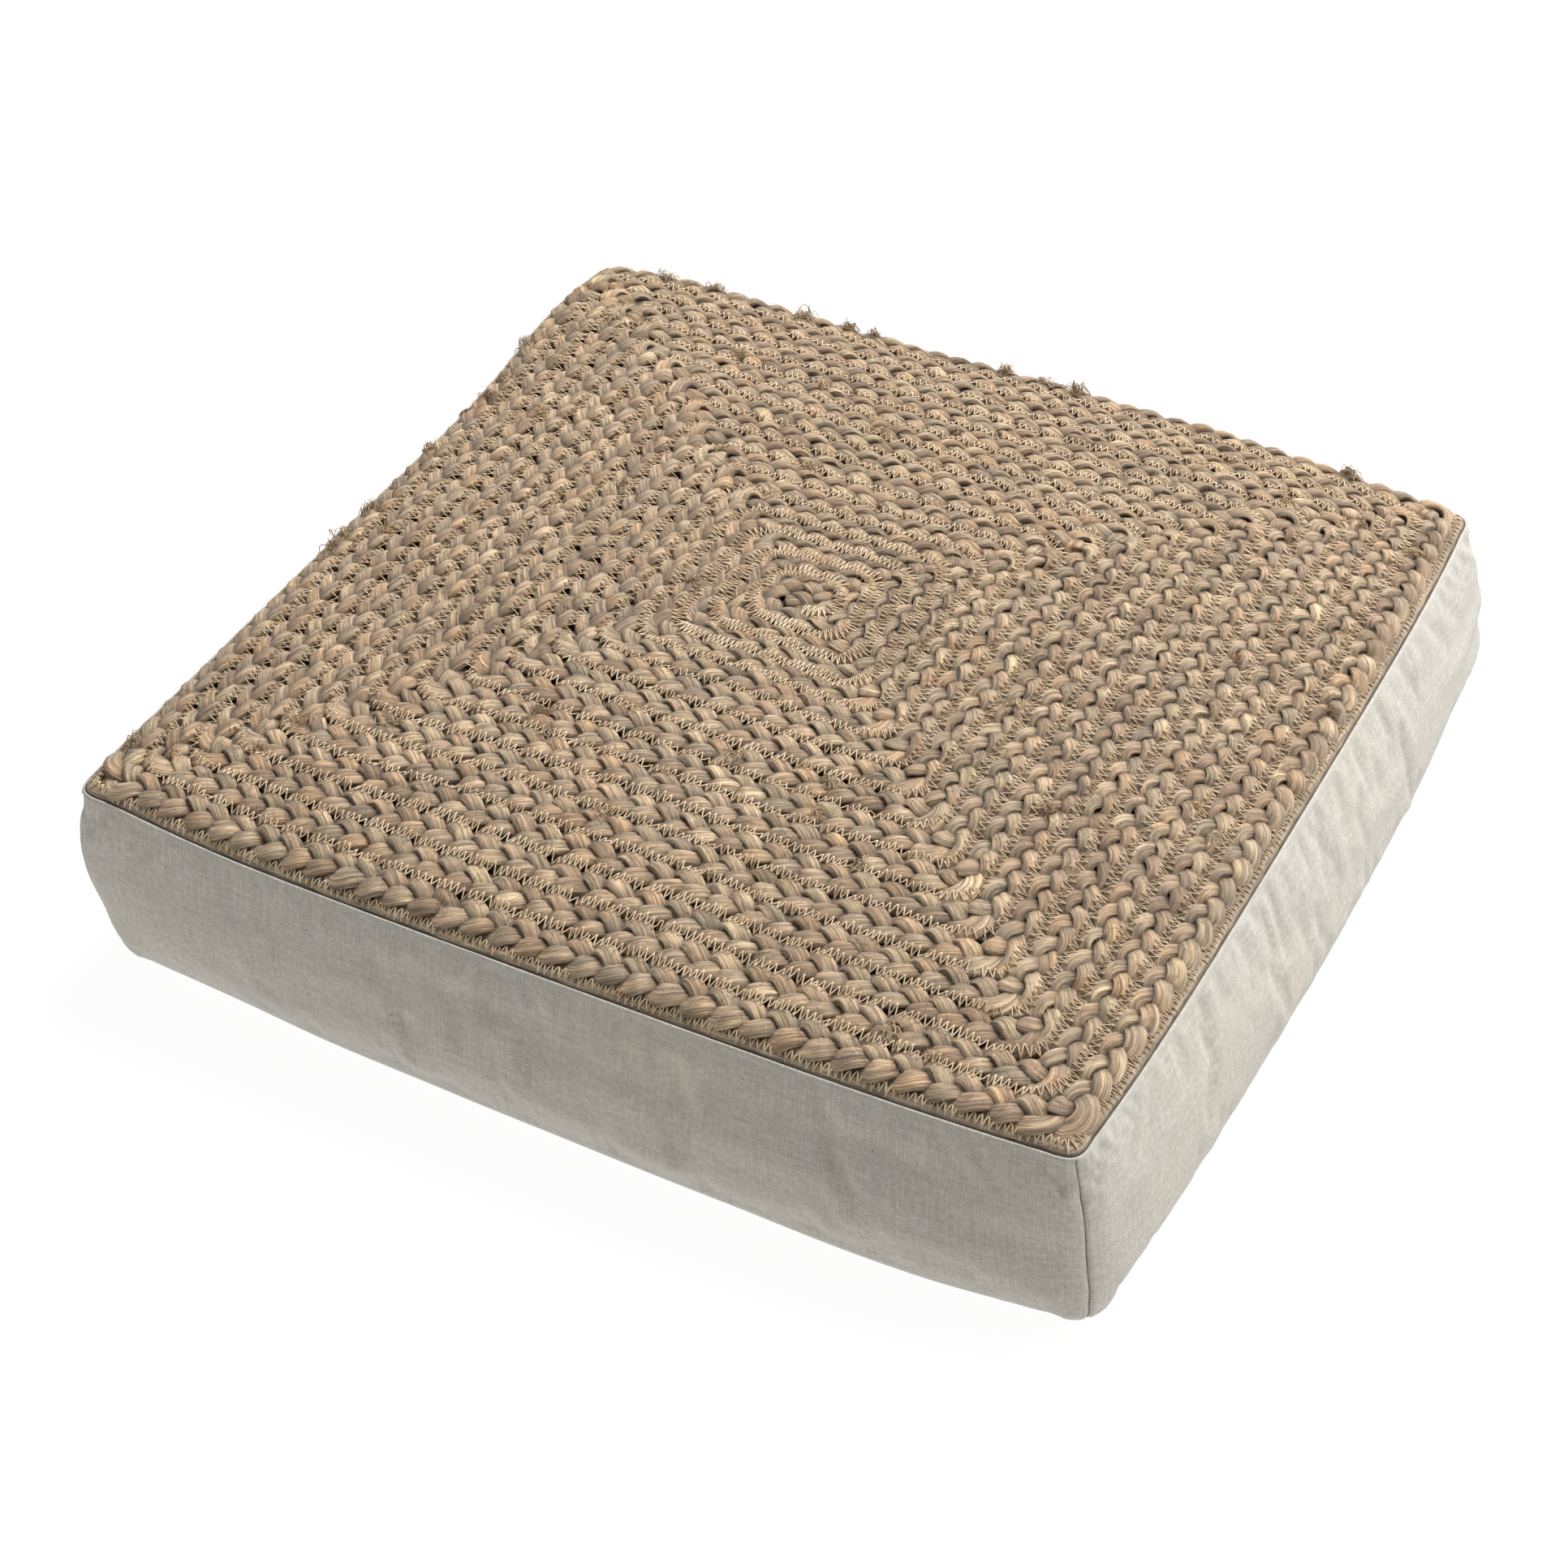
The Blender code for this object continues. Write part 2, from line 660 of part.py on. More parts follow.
def main():
    clear_scene()
    parts = collection("floor_cushion")
    cutters = collection("cutters")
    canvas = material("canvas", (0.70, 0.67, 0.60), 0.92)
    lining = material("lining", (0.62, 0.58, 0.50), 0.95)
    jute = material("jute", (0.42, 0.32, 0.21), 0.85)
    thread = material("thread", (0.55, 0.47, 0.33), 0.7)
    case = material("case", (0.80, 0.80, 0.78), 0.95)
    fibre = material("fibre", (0.86, 0.86, 0.84), 0.98)
    tape = material("tape", (0.68, 0.64, 0.56), 0.9)
    nylon = material("nylon", (0.74, 0.71, 0.63), 0.4)
    metal = material("metal", (0.60, 0.57, 0.52), 0.32, 1.0)

    side_panel("front_panel", 0, canvas, parts)
    side_panel("right_panel", 1, canvas, parts)
    side_panel("left_panel", 3, canvas, parts)
    back_band(canvas, parts)
    bottom_panel(canvas, parts)
    domed_sheet("top_lining", WALL_BULGE + CLOTH + FIT, SEAM_HEIGHT, CLOTH, lining, parts)
    braid(jute, parts)
    round_stitching(thread, parts)
    pad(case, fibre, parts)

    tapes(tape, parts)
    coils(nylon, parts)
    stops(metal, parts)
    carriage = bpy.data.objects.new("slider_carriage", None)
    carriage.location = (zip_closed_place(), back_face(), WAIST_HEIGHT)
    parts.objects.link(carriage)
    axis = slider(metal, parts, cutters, carriage)
    pull(metal, parts, carriage, axis)


main()
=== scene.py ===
import math

import bpy
import numpy as np
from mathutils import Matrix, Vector


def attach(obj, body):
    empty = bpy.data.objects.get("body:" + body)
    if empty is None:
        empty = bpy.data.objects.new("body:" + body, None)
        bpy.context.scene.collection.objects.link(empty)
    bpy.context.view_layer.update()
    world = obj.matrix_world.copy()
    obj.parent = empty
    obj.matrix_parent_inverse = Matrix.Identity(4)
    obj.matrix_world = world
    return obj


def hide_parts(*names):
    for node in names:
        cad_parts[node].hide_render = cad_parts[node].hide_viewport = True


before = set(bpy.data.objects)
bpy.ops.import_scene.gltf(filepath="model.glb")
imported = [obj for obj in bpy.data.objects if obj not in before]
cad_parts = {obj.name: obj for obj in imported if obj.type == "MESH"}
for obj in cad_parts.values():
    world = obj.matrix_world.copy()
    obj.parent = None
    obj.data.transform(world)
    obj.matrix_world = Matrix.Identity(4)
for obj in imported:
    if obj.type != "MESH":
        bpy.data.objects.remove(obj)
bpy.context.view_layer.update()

# ---- sizes, in metres
SEAM = 0.1055  # height of the seam between the canvas band and the braided top
CROWN = 0.0150  # rise of the top above its seam
SPAN = 0.296  # half the top, seam to middle
RIM_MID, RIM_CORNER = 0.2975, 0.2905  # half width of the top, mid side and at the corners
CANVAS_OUT = 0.0016  # the canvas stands outside the top's edge
WAIST = 0.056  # height of the zip
BAND_SWELL = 0.0080  # how far the canvas stands out at the waist before it is filled
BASE_ROUND = 0.019  # radius where the band turns under
LEAN = 0.085  # sideways shift to the left for each metre above the waist
EDGE_RISE, CORNER_RISE, CORNER_PUSH = 0.0062, 0.0070, 0.0060  # the back edge and the left corners ride up
FRONT_BELLY, RIGHT_BELLY, LEFT_TUCK = 0.0100, 0.0065, 0.0095  # how far each side moves low down
STRAIGHT = 0.274  # half of a side's straight part
CLOTH = 0.0010  # thickness of the canvas and of the lining
BACK = 0.300  # the back face at the zip
ZIP_HALF = 0.231  # half length of the slit strips
SLOT = 0.006  # half height of the zip slot

PITCH_OUT, PITCH_IN = 0.0183, 0.0150  # spacing of the braid's rounds, rim and heart
TURN = 0.0118  # radius of the braid's middle line at a corner
BRAID_REACH = 0.2822  # distance of the outermost round's middle from the centre
PLAIT = 0.0490  # length over which one strand repeats
SWING, LIFT_SWING, EDGE_LIFT = 0.0060, 0.0021, 0.0006  # sideways and up and down travel of a strand
STRAND_WIDE, STRAND_THICK = 0.0047, 0.0022  # half of a strand's width and of its thickness
STRAND_MIDDLE = 0.0040  # height of the braid's middle above the lining
GIRTH = 0.0235  # distance round a strand
RING = 16  # points round a strand
STRAND_STEP = 0.0024  # distance between a strand's rings
HEART_SHIFT = (-0.007, 0.024)
THREAD = 0.00040  # radius of the zigzag thread
THREAD_PATCH = (0.0012, 0.0004)  # the piece of thread, along and round, that each face shows
STROKE = np.array([0.0, 0.22, 0.5, 0.78, 1.0])  # where the five points of a zigzag's stroke lie
SINK = 0.0006  # how far each end of a stroke goes down into the cloth
SEAM_THREAD = 0.00034  # radius of the corner seams' thread
HEM_INSET = 0.0058  # the hem's middle inside the seam
FIBRE_LIMIT = 0.2955  # no loose fibre reaches further out

PAD_TOP, PAD_SIDE, PAD_FOOT = 0.284, 0.2875, 0.262  # half widths of the inner pad
PAD_AROUND = 160  # points round the pad
PAD_FLOOR, PAD_ROUND = 0.0024, 0.024  # the pad's underside and the height of its round foot
CASE = 0.0008  # thickness of the pad's case
WIRE, TOOTH_STEP = 0.00030, 0.00125  # radius and pitch of the zip's coil
FRAMES = 20  # length of the canvas band's simulation
FINE = 3  # the cover's grid is this many times finer after it is filled

SEED = 20117


def rng_for(name):
    return np.random.default_rng([SEED] + [ord(c) for c in name])


def smooth(t):
    t = np.clip(t, 0.0, 1.0)
    return t * t * (3 - 2 * t)


def between(knots, at):
    """Rows of knots, eased from one to the next, at each place of a line."""
    low = at.astype(int)
    share = smooth(at - low).reshape(-1, *([1] * (knots.ndim - 1)))
    return knots[low] * (1 - share) + knots[low + 1] * share


def wander(at, length, rng):
    """Smooth random values from -1 to 1 along a line."""
    at = at / length
    return between(rng.uniform(-1, 1, int(at.max()) + 4), at)


def field(x, y, length, rng, half=0.40):
    """Smooth random values from -1 to 1 over the plan."""
    count = int(2 * half / length) + 4
    knots = rng.uniform(-1, 1, (count, count))
    u, v = (np.clip((p + half) / length, 0, count - 2.001) for p in (x, y))
    i, j = u.astype(int), v.astype(int)
    a, b = smooth(u - i), smooth(v - j)
    return (
        knots[i, j] * (1 - a) * (1 - b)
        + knots[i + 1, j] * a * (1 - b)
        + knots[i, j + 1] * (1 - a) * b
        + knots[i + 1, j + 1] * a * b
    )


def unit(v):
    """Vectors brought to length 1."""
    return v / (np.linalg.norm(v, axis=-1, keepdims=True) + 1e-12)


def length_along(points):
    """Distance along a line of points, from its first."""
    return np.concatenate([[0], np.cumsum(np.linalg.norm(np.diff(points, axis=0), axis=1))])


def sample(marks, at, values):
    """Both columns of values, which lie at the distances at, read off at marks."""
    return np.stack([np.interp(marks, at, values[:, i]) for i in (0, 1)], -1)


# ---- meshes
def add_object(name, data):
    obj = bpy.data.objects.new(name, data)
    bpy.context.scene.collection.objects.link(obj)
    return obj


def mesh_piece(name, points, faces, look, node=None, uv=None, tint=None):
    """A piece of the cushion. uv is a pair per face corner, or else the plan. tint is a colour per point."""
    mesh = bpy.data.meshes.new(name)
    faces = np.asarray(faces, np.int32)
    uv = points[faces.ravel(), :2] if uv is None else uv
    count, corners = faces.shape
    mesh.vertices.add(len(points))
    mesh.vertices.foreach_set("co", np.asarray(points, np.float32).ravel())
    mesh.loops.add(count * corners)
    mesh.loops.foreach_set("vertex_index", faces.ravel())
    mesh.polygons.add(count)
    mesh.polygons.foreach_set("loop_start", np.arange(0, count * corners, corners, dtype=np.int32))
    mesh.polygons.foreach_set("use_smooth", np.full(count, True))
    layer = mesh.uv_layers.new(name="metres")
    layer.uv.foreach_set("vector", np.asarray(uv, np.float32).ravel())
    # the per-point colour: the fibre's own tone, and on the braid's strands also painted shade in the hollows
    if tint is not None:
        colour = np.ones((len(tint), 4), np.float32)
        colour[:, :3] = tint
        made = mesh.attributes.new("fibre", "FLOAT_COLOR", "POINT")
        made.data.foreach_set("color", colour.ravel())
    mesh.update(calc_edges=True)
    mesh.validate()
    mesh.materials.append(LOOK[look])
    obj = add_object(name, mesh)
    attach(obj, "cushion")
    if node:
        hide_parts(node)
    return obj


def tube_faces(rings, around, closed_path=False):
    ring = np.arange(rings if closed_path else rings - 1)[:, None]
    step = np.arange(around)[None, :]
    after, turn = (ring + 1) % rings, (step + 1) % around
    quads = [ring * around + step, ring * around + turn, after * around + turn, after * around + step]
    return np.stack(quads, -1).reshape(-1, 4)


def cap_faces(rings, around):
    """Both ends of an even-sided tube, as quads fanned across each end ring."""
    first = np.arange(around)
    last = first + (rings - 1) * around
    made = []
    for ends, turned in ((first, -1), (last, 1)):
        for k in range(around // 2 - 1):
            made.append([ends[k], ends[k + 1], ends[around - 2 - k], ends[around - 1 - k]][::turned])
    return np.array(made)


def two_layers(high, low):
    """Points and faces of a closed sheet between two equal grids of points."""
    n, m = high.shape[:2]
    points = np.concatenate([high.reshape(-1, 3), low.reshape(-1, 3)])
    i, j = (a.ravel() for a in np.meshgrid(np.arange(n - 1), np.arange(m - 1), indexing="ij"))
    quad = np.stack([i * m + j, (i + 1) * m + j, (i + 1) * m + j + 1, i * m + j + 1], -1)
    rim = np.concatenate([np.arange(m - 1), np.arange(n - 1) * m + m - 1,
                          n * m - 1 - np.arange(m - 1), (n - 1 - np.arange(n - 1)) * m])
    after = np.roll(rim, -1)
    side = np.stack([rim, after, after + n * m, rim + n * m], -1)
    return points, np.concatenate([quad, quad[:, ::-1] + n * m, side])


def wrap_uv(at, after, around, wide):
    """uv of a tube's faces: along it from at to after, and round it by wide a face."""
    step = np.arange(around)
    u = np.stack([at, at, after, after], -1)[:, None].repeat(around, 1)
    v = np.stack([step, step + 1, step + 1, step], -1)[None].repeat(len(at), 0) * wide
    return np.stack([u, v], -1).reshape(-1, 2)


def patch_uv(faces, long, wide):
    """The same small patch of thread or fibre on every face."""
    return np.tile([[0.0, 0.0], [0.0, wide], [long, wide], [long, 0.0]], (len(faces), 1))


def frames_along(path):
    """Tangent, side and normal of a path, with the side kept level."""
    tangent = unit(np.gradient(path, axis=0))
    side = np.cross(tangent, [0.0, 0.0, 1.0])
    length = np.linalg.norm(side, axis=1)[:, None]
    side = np.where(length > 1e-6, side / (length + 1e-12), [1.0, 0.0, 0.0])
    return tangent, side, np.cross(side, tangent)


def thin_tubes(paths, radii, around=4):
    """Many open tubes of equal point count as one set of points and faces. paths is (n, k, 3)."""
    count, steps, _ = paths.shape
    tangent = unit(np.gradient(paths, axis=1))
    helper = np.where(np.abs(tangent[..., 2:3]) > 0.9, [1.0, 0.0, 0.0], [0.0, 0.0, 1.0])
    side = unit(np.cross(tangent, helper))
    up = np.cross(side, tangent)
    angle = np.arange(around) / around * 2 * math.pi
    radii = np.broadcast_to(radii, (count, steps))[:, :, None, None]
    points = (
        paths[:, :, None, :]
        + side[:, :, None, :] * (np.cos(angle)[:, None] * radii)
        + up[:, :, None, :] * (np.sin(angle)[:, None] * radii)
    )
    single = np.concatenate([tube_faces(steps, around), cap_faces(steps, around)])
    faces = single[None] + (np.arange(count) * steps * around)[:, None, None]
    return points.reshape(-1, 3), faces.reshape(-1, single.shape[1])


# ---- plan and height
WOBBLE = rng_for("wobble")
WOBBLE_X, WOBBLE_Y, LUMPS = (WOBBLE.integers(1 << 30) for _ in range(3))


def outline_scale(x, y):
    """The sides bow out a little between the corners."""
    pull = 1 - RIM_CORNER / RIM_MID
    return [(1 - pull * np.clip(np.abs(v) / SPAN, 0, 1.2) ** 4) * RIM_MID / SPAN for v in (y, x)]


def top_height(x, y):
    far = np.clip(np.maximum(np.abs(x), np.abs(y)) / SPAN, 0, 1)
    fall_x, fall_y = (1 - np.abs(np.clip(v / SPAN, -1, 1)) ** 3.4 for v in (x, y))
    dome = CROWN * fall_x * fall_y
    lumps = field(x, y, 0.075, np.random.default_rng(LUMPS)) * 0.0022 * (1 - far**6)
    return SEAM + dome + lumps


def hill(x, y, at_x, at_y, wide, deep):
    """1 at one place of the plan, falling off round it."""
    return np.exp(-(((x - at_x) / wide) ** 2) - ((y - at_y) / deep) ** 2)


def settle(points):
    """How the filled cushion lies: it leans, its back and left edges ride up and its sides sag outward."""
    x, y, z = points[..., 0], points[..., 1], points[..., 2]
    high = smooth((z - 0.068) / 0.035)
    left = 0.30 * smooth((-x + 0.02) / 0.30)
    back = smooth((y - 0.02) / 0.28) * (1 - smooth((x - 0.12) / 0.17))
    corners = hill(x, y, -0.27, 0.27, 0.100, 0.100) + 0.7 * hill(x, y, -0.28, -0.28, 0.060, 0.060)
    rise = EDGE_RISE * np.maximum(left, back) + CORNER_RISE * corners
    puff = hill(x, y, -0.30, 0.235, 0.070, 0.075)
    tip = hill(x, y, -0.29, 0.30, 0.05, 0.05)
    # the sag keeps below the zip at the back, and starts higher on the other sides
    before_zip = 1 - smooth((y - 0.19) / 0.08)
    low = smooth((WAIST + 0.028 * before_zip - z) / (0.046 + 0.026 * before_zip))
    right_share = 0.98 - 0.35 * smooth((y - 0.15) / 0.12) + 0.72 * np.exp(-(((y - 0.03) / 0.17) ** 2))
    front_share = 0.35 + 1.0 * smooth((x + 0.29) / 0.40) - 0.5 * smooth((x - 0.20) / 0.10)
    to_side = RIGHT_BELLY * smooth(x / 0.28) * right_share + LEFT_TUCK * smooth(-x / 0.28)
    to_front = FRONT_BELLY * smooth(-y / 0.28) * front_share
    shifted = x - LEAN * (z - WAIST) - CORNER_PUSH * puff * high + to_side * low
    return np.stack([shifted, y - to_front * low - CORNER_PUSH * tip * high, z + rise * high], -1)


def lay(points):
    """Flat braid coordinates, z above the lining, to the crowned top of the cushion."""
    x, y, z = points[..., 0], points[..., 1], points[..., 2]
    inside = 1 - np.clip(np.maximum(np.abs(x), np.abs(y)) / SPAN, 0, 1) ** 6
    moved = []
    for v, shift, seed in ((x, HEART_SHIFT[0], WOBBLE_X), (y, HEART_SHIFT[1], WOBBLE_Y)):
        wobble = field(x, y, 0.045, np.random.default_rng(seed)) * 0.0016 * inside
        moved.append(v + shift * (1 - np.clip(v / SPAN, -1, 1) ** 2) + wobble)
    sx, sy = outline_scale(*moved)
    return settle(np.stack([moved[0] * sx, moved[1] * sy, top_height(*moved) + z], -1))


# ---- the coil of the braid
RUNS = ((1, 0), (0, 1), (-1, 0), (0, -1))


def quarter_reaches():
    """How far each quarter round lies from the heart. Their number is odd, so that the heart closes."""
    reach = [0.0]
    while reach[-1] < BRAID_REACH or len(reach) % 2 == 0:
        share = smooth((reach[-1] - 0.050) / 0.045)
        reach.append(reach[-1] + (PITCH_IN + (PITCH_OUT - PITCH_IN) * share) / 4)
    reach = np.array(reach)
    return reach * BRAID_REACH / reach[-1]


REACH = quarter_reaches()
SIDES = len(REACH)


def run_of(index):
    return RUNS[(index - SIDES + 3) % 4]


def distance_of(index):
    last = SIDES - 1 - (SIDES - 1 - index) % 4
    return REACH[index] + BRAID_REACH - REACH[last]


def coil(distances, first, radius, step, tail_start, tail_end):
    """A coiled path with rounded corners. distances[i] is side first+i's distance from the middle."""
    lines = []
    for k, d in enumerate(distances):
        run = np.array(run_of(first + k), float)
        lines.append((run, np.array([run[1], -run[0]]), d))     # the run, its outward direction, its distance
    corners = [out_a * d_a + out_b * d_b for (_, out_a, d_a), (_, out_b, d_b) in zip(lines, lines[1:])]
    start = lines[0][1] * lines[0][2] + lines[0][0] * tail_start
    end = lines[-1][1] * lines[-1][2] + lines[-1][0] * tail_end
    marks = [start] + corners + [end]
    points, turns = [start], []
    for k in range(1, len(marks) - 1):
        before = np.linalg.norm(marks[k] - marks[k - 1])
        after = np.linalg.norm(marks[k + 1] - marks[k])
        r = min(radius, 0.47 * before, 0.47 * after)
        run_a, run_b = lines[k - 1][0], lines[k][0]
        centre = marks[k] - run_a * r + run_b * r
        for angle in np.linspace(0, math.pi / 2, 9):
            points.append(centre + (run_a * math.sin(angle) - run_b * math.cos(angle)) * r)
        turns.append(len(points) - 5)
    points.append(end)
    points = np.array(points)
    along = length_along(points)
    at = np.arange(0, along[-1], step)
    path = sample(at, along, points)
    kernel = np.hanning(9)
    kernel /= kernel.sum()
    padded = np.concatenate([path[:1].repeat(4, 0), path, path[-1:].repeat(4, 0)])
    path = np.stack([np.convolve(padded[:, i], kernel, "valid") for i in (0, 1)], -1)
    return at, path, along[turns]


def corner_share(at, turns, width):
    """1 at each corner of the coil and 0 away from it."""
    share = np.zeros_like(at)
    for t in turns:
        near = np.abs(at - t) < 3 * width
        share[near] = np.maximum(share[near], np.exp(-(((at[near] - t) / width) ** 2)))
    return share


def outward_of(path):
    """The level unit vector on the right of each step of a path."""
    tangent = unit(np.gradient(path, axis=0))
    return np.stack([tangent[:, 1], -tangent[:, 0]], -1)


def ring_outward(ring):
    """The same for a closed ring, whose last point joins its first."""
    tangent = unit(np.roll(ring, -1, 0) - np.roll(ring, 1, 0))
    return np.stack([tangent[:, 1], -tangent[:, 0]], -1)


# ---- shader helpers
def srgb(r, g, b):
    def linear(c):
        c /= 255
        return c / 12.92 if c <= 0.04045 else ((c + 0.055) / 1.055) ** 2.4
    return (linear(r), linear(g), linear(b), 1.0)


class Shade:
    """A small builder for a procedural material."""

    def __init__(self, name, colour, roughness=0.8, **inputs):
        self.material = bpy.data.materials.new(name)
        self.material.use_nodes = True
        self.tree = self.material.node_tree
        self.bsdf = self.tree.nodes["Principled BSDF"]
        self.bsdf.inputs["Base Color"].default_value = colour
        self.bsdf.inputs["Roughness"].default_value = roughness
        for key, value in inputs.items():
            self.bsdf.inputs[key.replace("_", " ")].default_value = value

    def node(self, kind, links=None, **settings):
        made = self.tree.nodes.new(kind)
        for key, value in settings.items():
            setattr(made, key, value)
        for key, value in (links or {}).items():
            socket = made.inputs[key]
            if isinstance(value, bpy.types.NodeSocket):
                self.tree.links.new(value, socket)
            else:
                socket.default_value = value
        return made

    def uv(self):
        return self.node("ShaderNodeUVMap", uv_map="metres").outputs["UV"]

    def place(self):
        return self.node("ShaderNodeTexCoord").outputs["Object"]

    def scaled(self, vector, sx, sy, sz=1.0):
        return self.node("ShaderNodeMapping", {"Vector": vector, "Scale": (sx, sy, sz)}).outputs["Vector"]

    def noise(self, vector, scale, detail=2.0, rough=0.5, distortion=0.0):
        links = {"Vector": vector, "Scale": scale, "Detail": detail, "Roughness": rough,
                 "Distortion": distortion}
        return self.node("ShaderNodeTexNoise", links).outputs["Fac"]

    def spread(self, value, low, high, to_low=0.0, to_high=1.0):
        links = {"Value": value, "From Min": low, "From Max": high, "To Min": to_low, "To Max": to_high}
        return self.node("ShaderNodeMapRange", links).outputs["Result"]

    def math(self, operation, a, b=None):
        links = {0: a} if b is None else {0: a, 1: b}
        return self.node("ShaderNodeMath", links, operation=operation).outputs[0]

    def either(self, share, a, b):
        """a where share is 1 and b where it is 0."""
        rest = self.math("MULTIPLY", b, self.math("SUBTRACT", 1.0, share))
        return self.math("ADD", self.math("MULTIPLY", a, share), rest)

    def mix(self, share, a, b, blend="MIX"):
        made = self.node("ShaderNodeMix", {0: share, 6: a, 7: b}, data_type="RGBA", blend_type=blend)
        return made.outputs[2]

    def bump(self, height, distance, strength=1.0, after=None):
        links = {"Height": height, "Distance": distance, "Strength": strength}
        if after is not None:
            links["Normal"] = after
        return self.node("ShaderNodeBump", links).outputs["Normal"]

    def finish(self, colour, roughness, normal):
        for key, socket in (("Base Color", colour), ("Roughness", roughness), ("Normal", normal)):
            self.tree.links.new(socket, self.bsdf.inputs[key])
        return self.material


def jute_look():
    """Flat bundles of retted fibre: fine streaks along the strand, colours that drift by the handful, and the
    painted shade that the strands' points carry.
    """
    s = Shade("braided_jute", srgb(178, 154, 124), 0.62, Sheen_Weight=0.25, Sheen_Roughness=0.5)
    uv = s.uv()
    fibres = s.noise(s.scaled(uv, 48, 1150), 1.0, 4.0, 0.75, 0.3)
    fine = s.noise(s.scaled(uv, 140, 5200), 1.0, 2.0, 0.6)
    bands = s.noise(s.scaled(uv, 28, 420), 1.0, 2.0, 0.5, 0.4)
    # per-point colour: fibre tone, with painted shade in the braid's hollows
    tone_and_painted_shade = s.node("ShaderNodeAttribute", attribute_name="fibre", attribute_type="GEOMETRY").outputs["Color"]
    streak = s.mix(s.spread(fibres, 0.36, 0.64), (0.40, 0.37, 0.33, 1), (1.42, 1.41, 1.36, 1))
    colour = s.mix(1.0, tone_and_painted_shade, streak, "MULTIPLY")
    blotch = s.mix(s.spread(bands, 0.36, 0.66), (0.84, 0.82, 0.80, 1), (1.10, 1.09, 1.07, 1))
    colour = s.mix(1.0, colour, blotch, "MULTIPLY")
    specks = s.noise(s.scaled(uv, 260, 900), 1.0, 1.0)
    colour = s.mix(s.spread(specks, 0.76, 0.80, 0.0, 0.55), colour, srgb(70, 52, 38))
    rough = s.bump(bands, 0.0012, 0.7)
    relief = s.math("ADD", fibres, s.math("MULTIPLY", fine, 0.35))
    return s.finish(colour, s.spread(fibres, 0.3, 0.7, 0.72, 0.46), s.bump(relief, 0.0014, 1.0, rough))


def thread_look(name, colour, dark):
    s = Shade(name, colour, 0.6)
    uv = s.uv()
    twist = s.node("ShaderNodeTexWave", {"Vector": s.scaled(uv, 1, 0.6), "Scale": 500.0, "Distortion": 0.6},
                   bands_direction="DIAGONAL").outputs["Fac"]
    worn = s.noise(s.place(), 90, 3.0)
    tone = s.mix(s.spread(worn, 0.3, 0.7), dark, colour)
    return s.finish(s.mix(s.spread(twist, 0, 1, 0.25, 0.0), tone, dark),
                    s.spread(worn, 0.3, 0.7, 0.72, 0.55), s.bump(twist, 0.0001, 0.6))


def canvas_look():
    """Undyed plain weave, about 0.9 threads per millimetre, with slubs, seed flecks and faint stains."""
    s = Shade("ecru_canvas", srgb(216, 213, 204), 0.86, Sheen_Weight=0.12, Sheen_Roughness=0.6)
    uv = s.uv()
    warp_wave = s.noise(s.scaled(uv, 25, 25), 1.0, 2.0)
    bent = s.node("ShaderNodeVectorMath", {0: s.node(
        "ShaderNodeCombineXYZ", {"X": s.spread(warp_wave, 0, 1, -0.0006, 0.0006),
                                 "Y": s.spread(warp_wave, 0, 1, 0.0006, -0.0006)}).outputs[0], 1: uv},
        operation="ADD").outputs[0]
    parts = s.node("ShaderNodeSeparateXYZ", {0: bent})
    pitch = 0.00105
    across, along = (s.math("MULTIPLY", parts.outputs[axis], math.pi / pitch) for axis in "XY")
    warp, weft = (s.math("ABSOLUTE", s.math("SINE", wave)) for wave in (across, along))
    over = s.math("MULTIPLY", s.math("SINE", across), s.math("SINE", along))
    share = s.spread(over, -0.35, 0.35)
    weave = s.either(share, s.math("POWER", warp, 0.6), s.math("POWER", weft, 0.6))
    slub_warp = s.noise(s.scaled(uv, 950, 30), 1.0, 2.0)
    slub_weft = s.noise(s.scaled(uv, 30, 950), 1.0, 2.0)
    slubs = s.either(share, slub_warp, slub_weft)
    tone = s.mix(s.spread(slubs, 0.32, 0.66), srgb(190, 184, 172), srgb(222, 218, 209))
    tone = s.mix(s.spread(weave, 0.15, 0.75, 0.60, 0.0), tone, srgb(128, 124, 112))
    cloud = s.noise(s.place(), 9.0, 4.0, 0.55)
    tone = s.mix(s.spread(cloud, 0.48, 0.72, 0.0, 0.45), tone, srgb(214, 204, 182))
    mottle = s.noise(s.scaled(uv, 330, 330), 1.0, 4.0, 0.7)
    tone = s.mix(s.spread(mottle, 0.40, 0.66, 0.0, 0.55), tone, srgb(168, 161, 149))
    seed = s.noise(s.scaled(uv, 700, 420), 1.0, 0.0)
    tone = s.mix(s.spread(seed, 0.845, 0.865, 0.0, 0.7), tone, srgb(96, 78, 58))
    soft = s.bump(s.noise(s.place(), 45.0, 3.0), 0.0012, 0.35)
    relief = s.math("ADD", weave, s.math("MULTIPLY", slubs, 0.8))
    return s.finish(tone, s.spread(slubs, 0.3, 0.7, 0.92, 0.80), s.bump(relief, 0.00035, 0.9, soft))


def cloth_look(name, light, dark, pitch):
    """A plain closely woven cloth for the parts inside, read from its place in space."""
    s = Shade(name, light, 0.88)
    place = s.place()
    parts = s.node("ShaderNodeSeparateXYZ", {0: place})
    turn = math.pi / pitch
    a, b, c = (s.math("ABSOLUTE", s.math("SINE", s.math("MULTIPLY", parts.outputs[axis], turn)))
               for axis in "XYZ")
    weave = s.math("MULTIPLY", s.math("ADD", s.math("ADD", a, b), c), 0.333)
    cloud = s.noise(place, 30.0, 4.0)
    tone = s.mix(s.spread(cloud, 0.35, 0.68), dark, light)
    return s.finish(s.mix(s.spread(weave, 0.2, 0.7, 0.4, 0.0), tone, dark),
                    s.spread(cloud, 0.3, 0.7, 0.93, 0.82), s.bump(weave, 0.0002, 0.7))


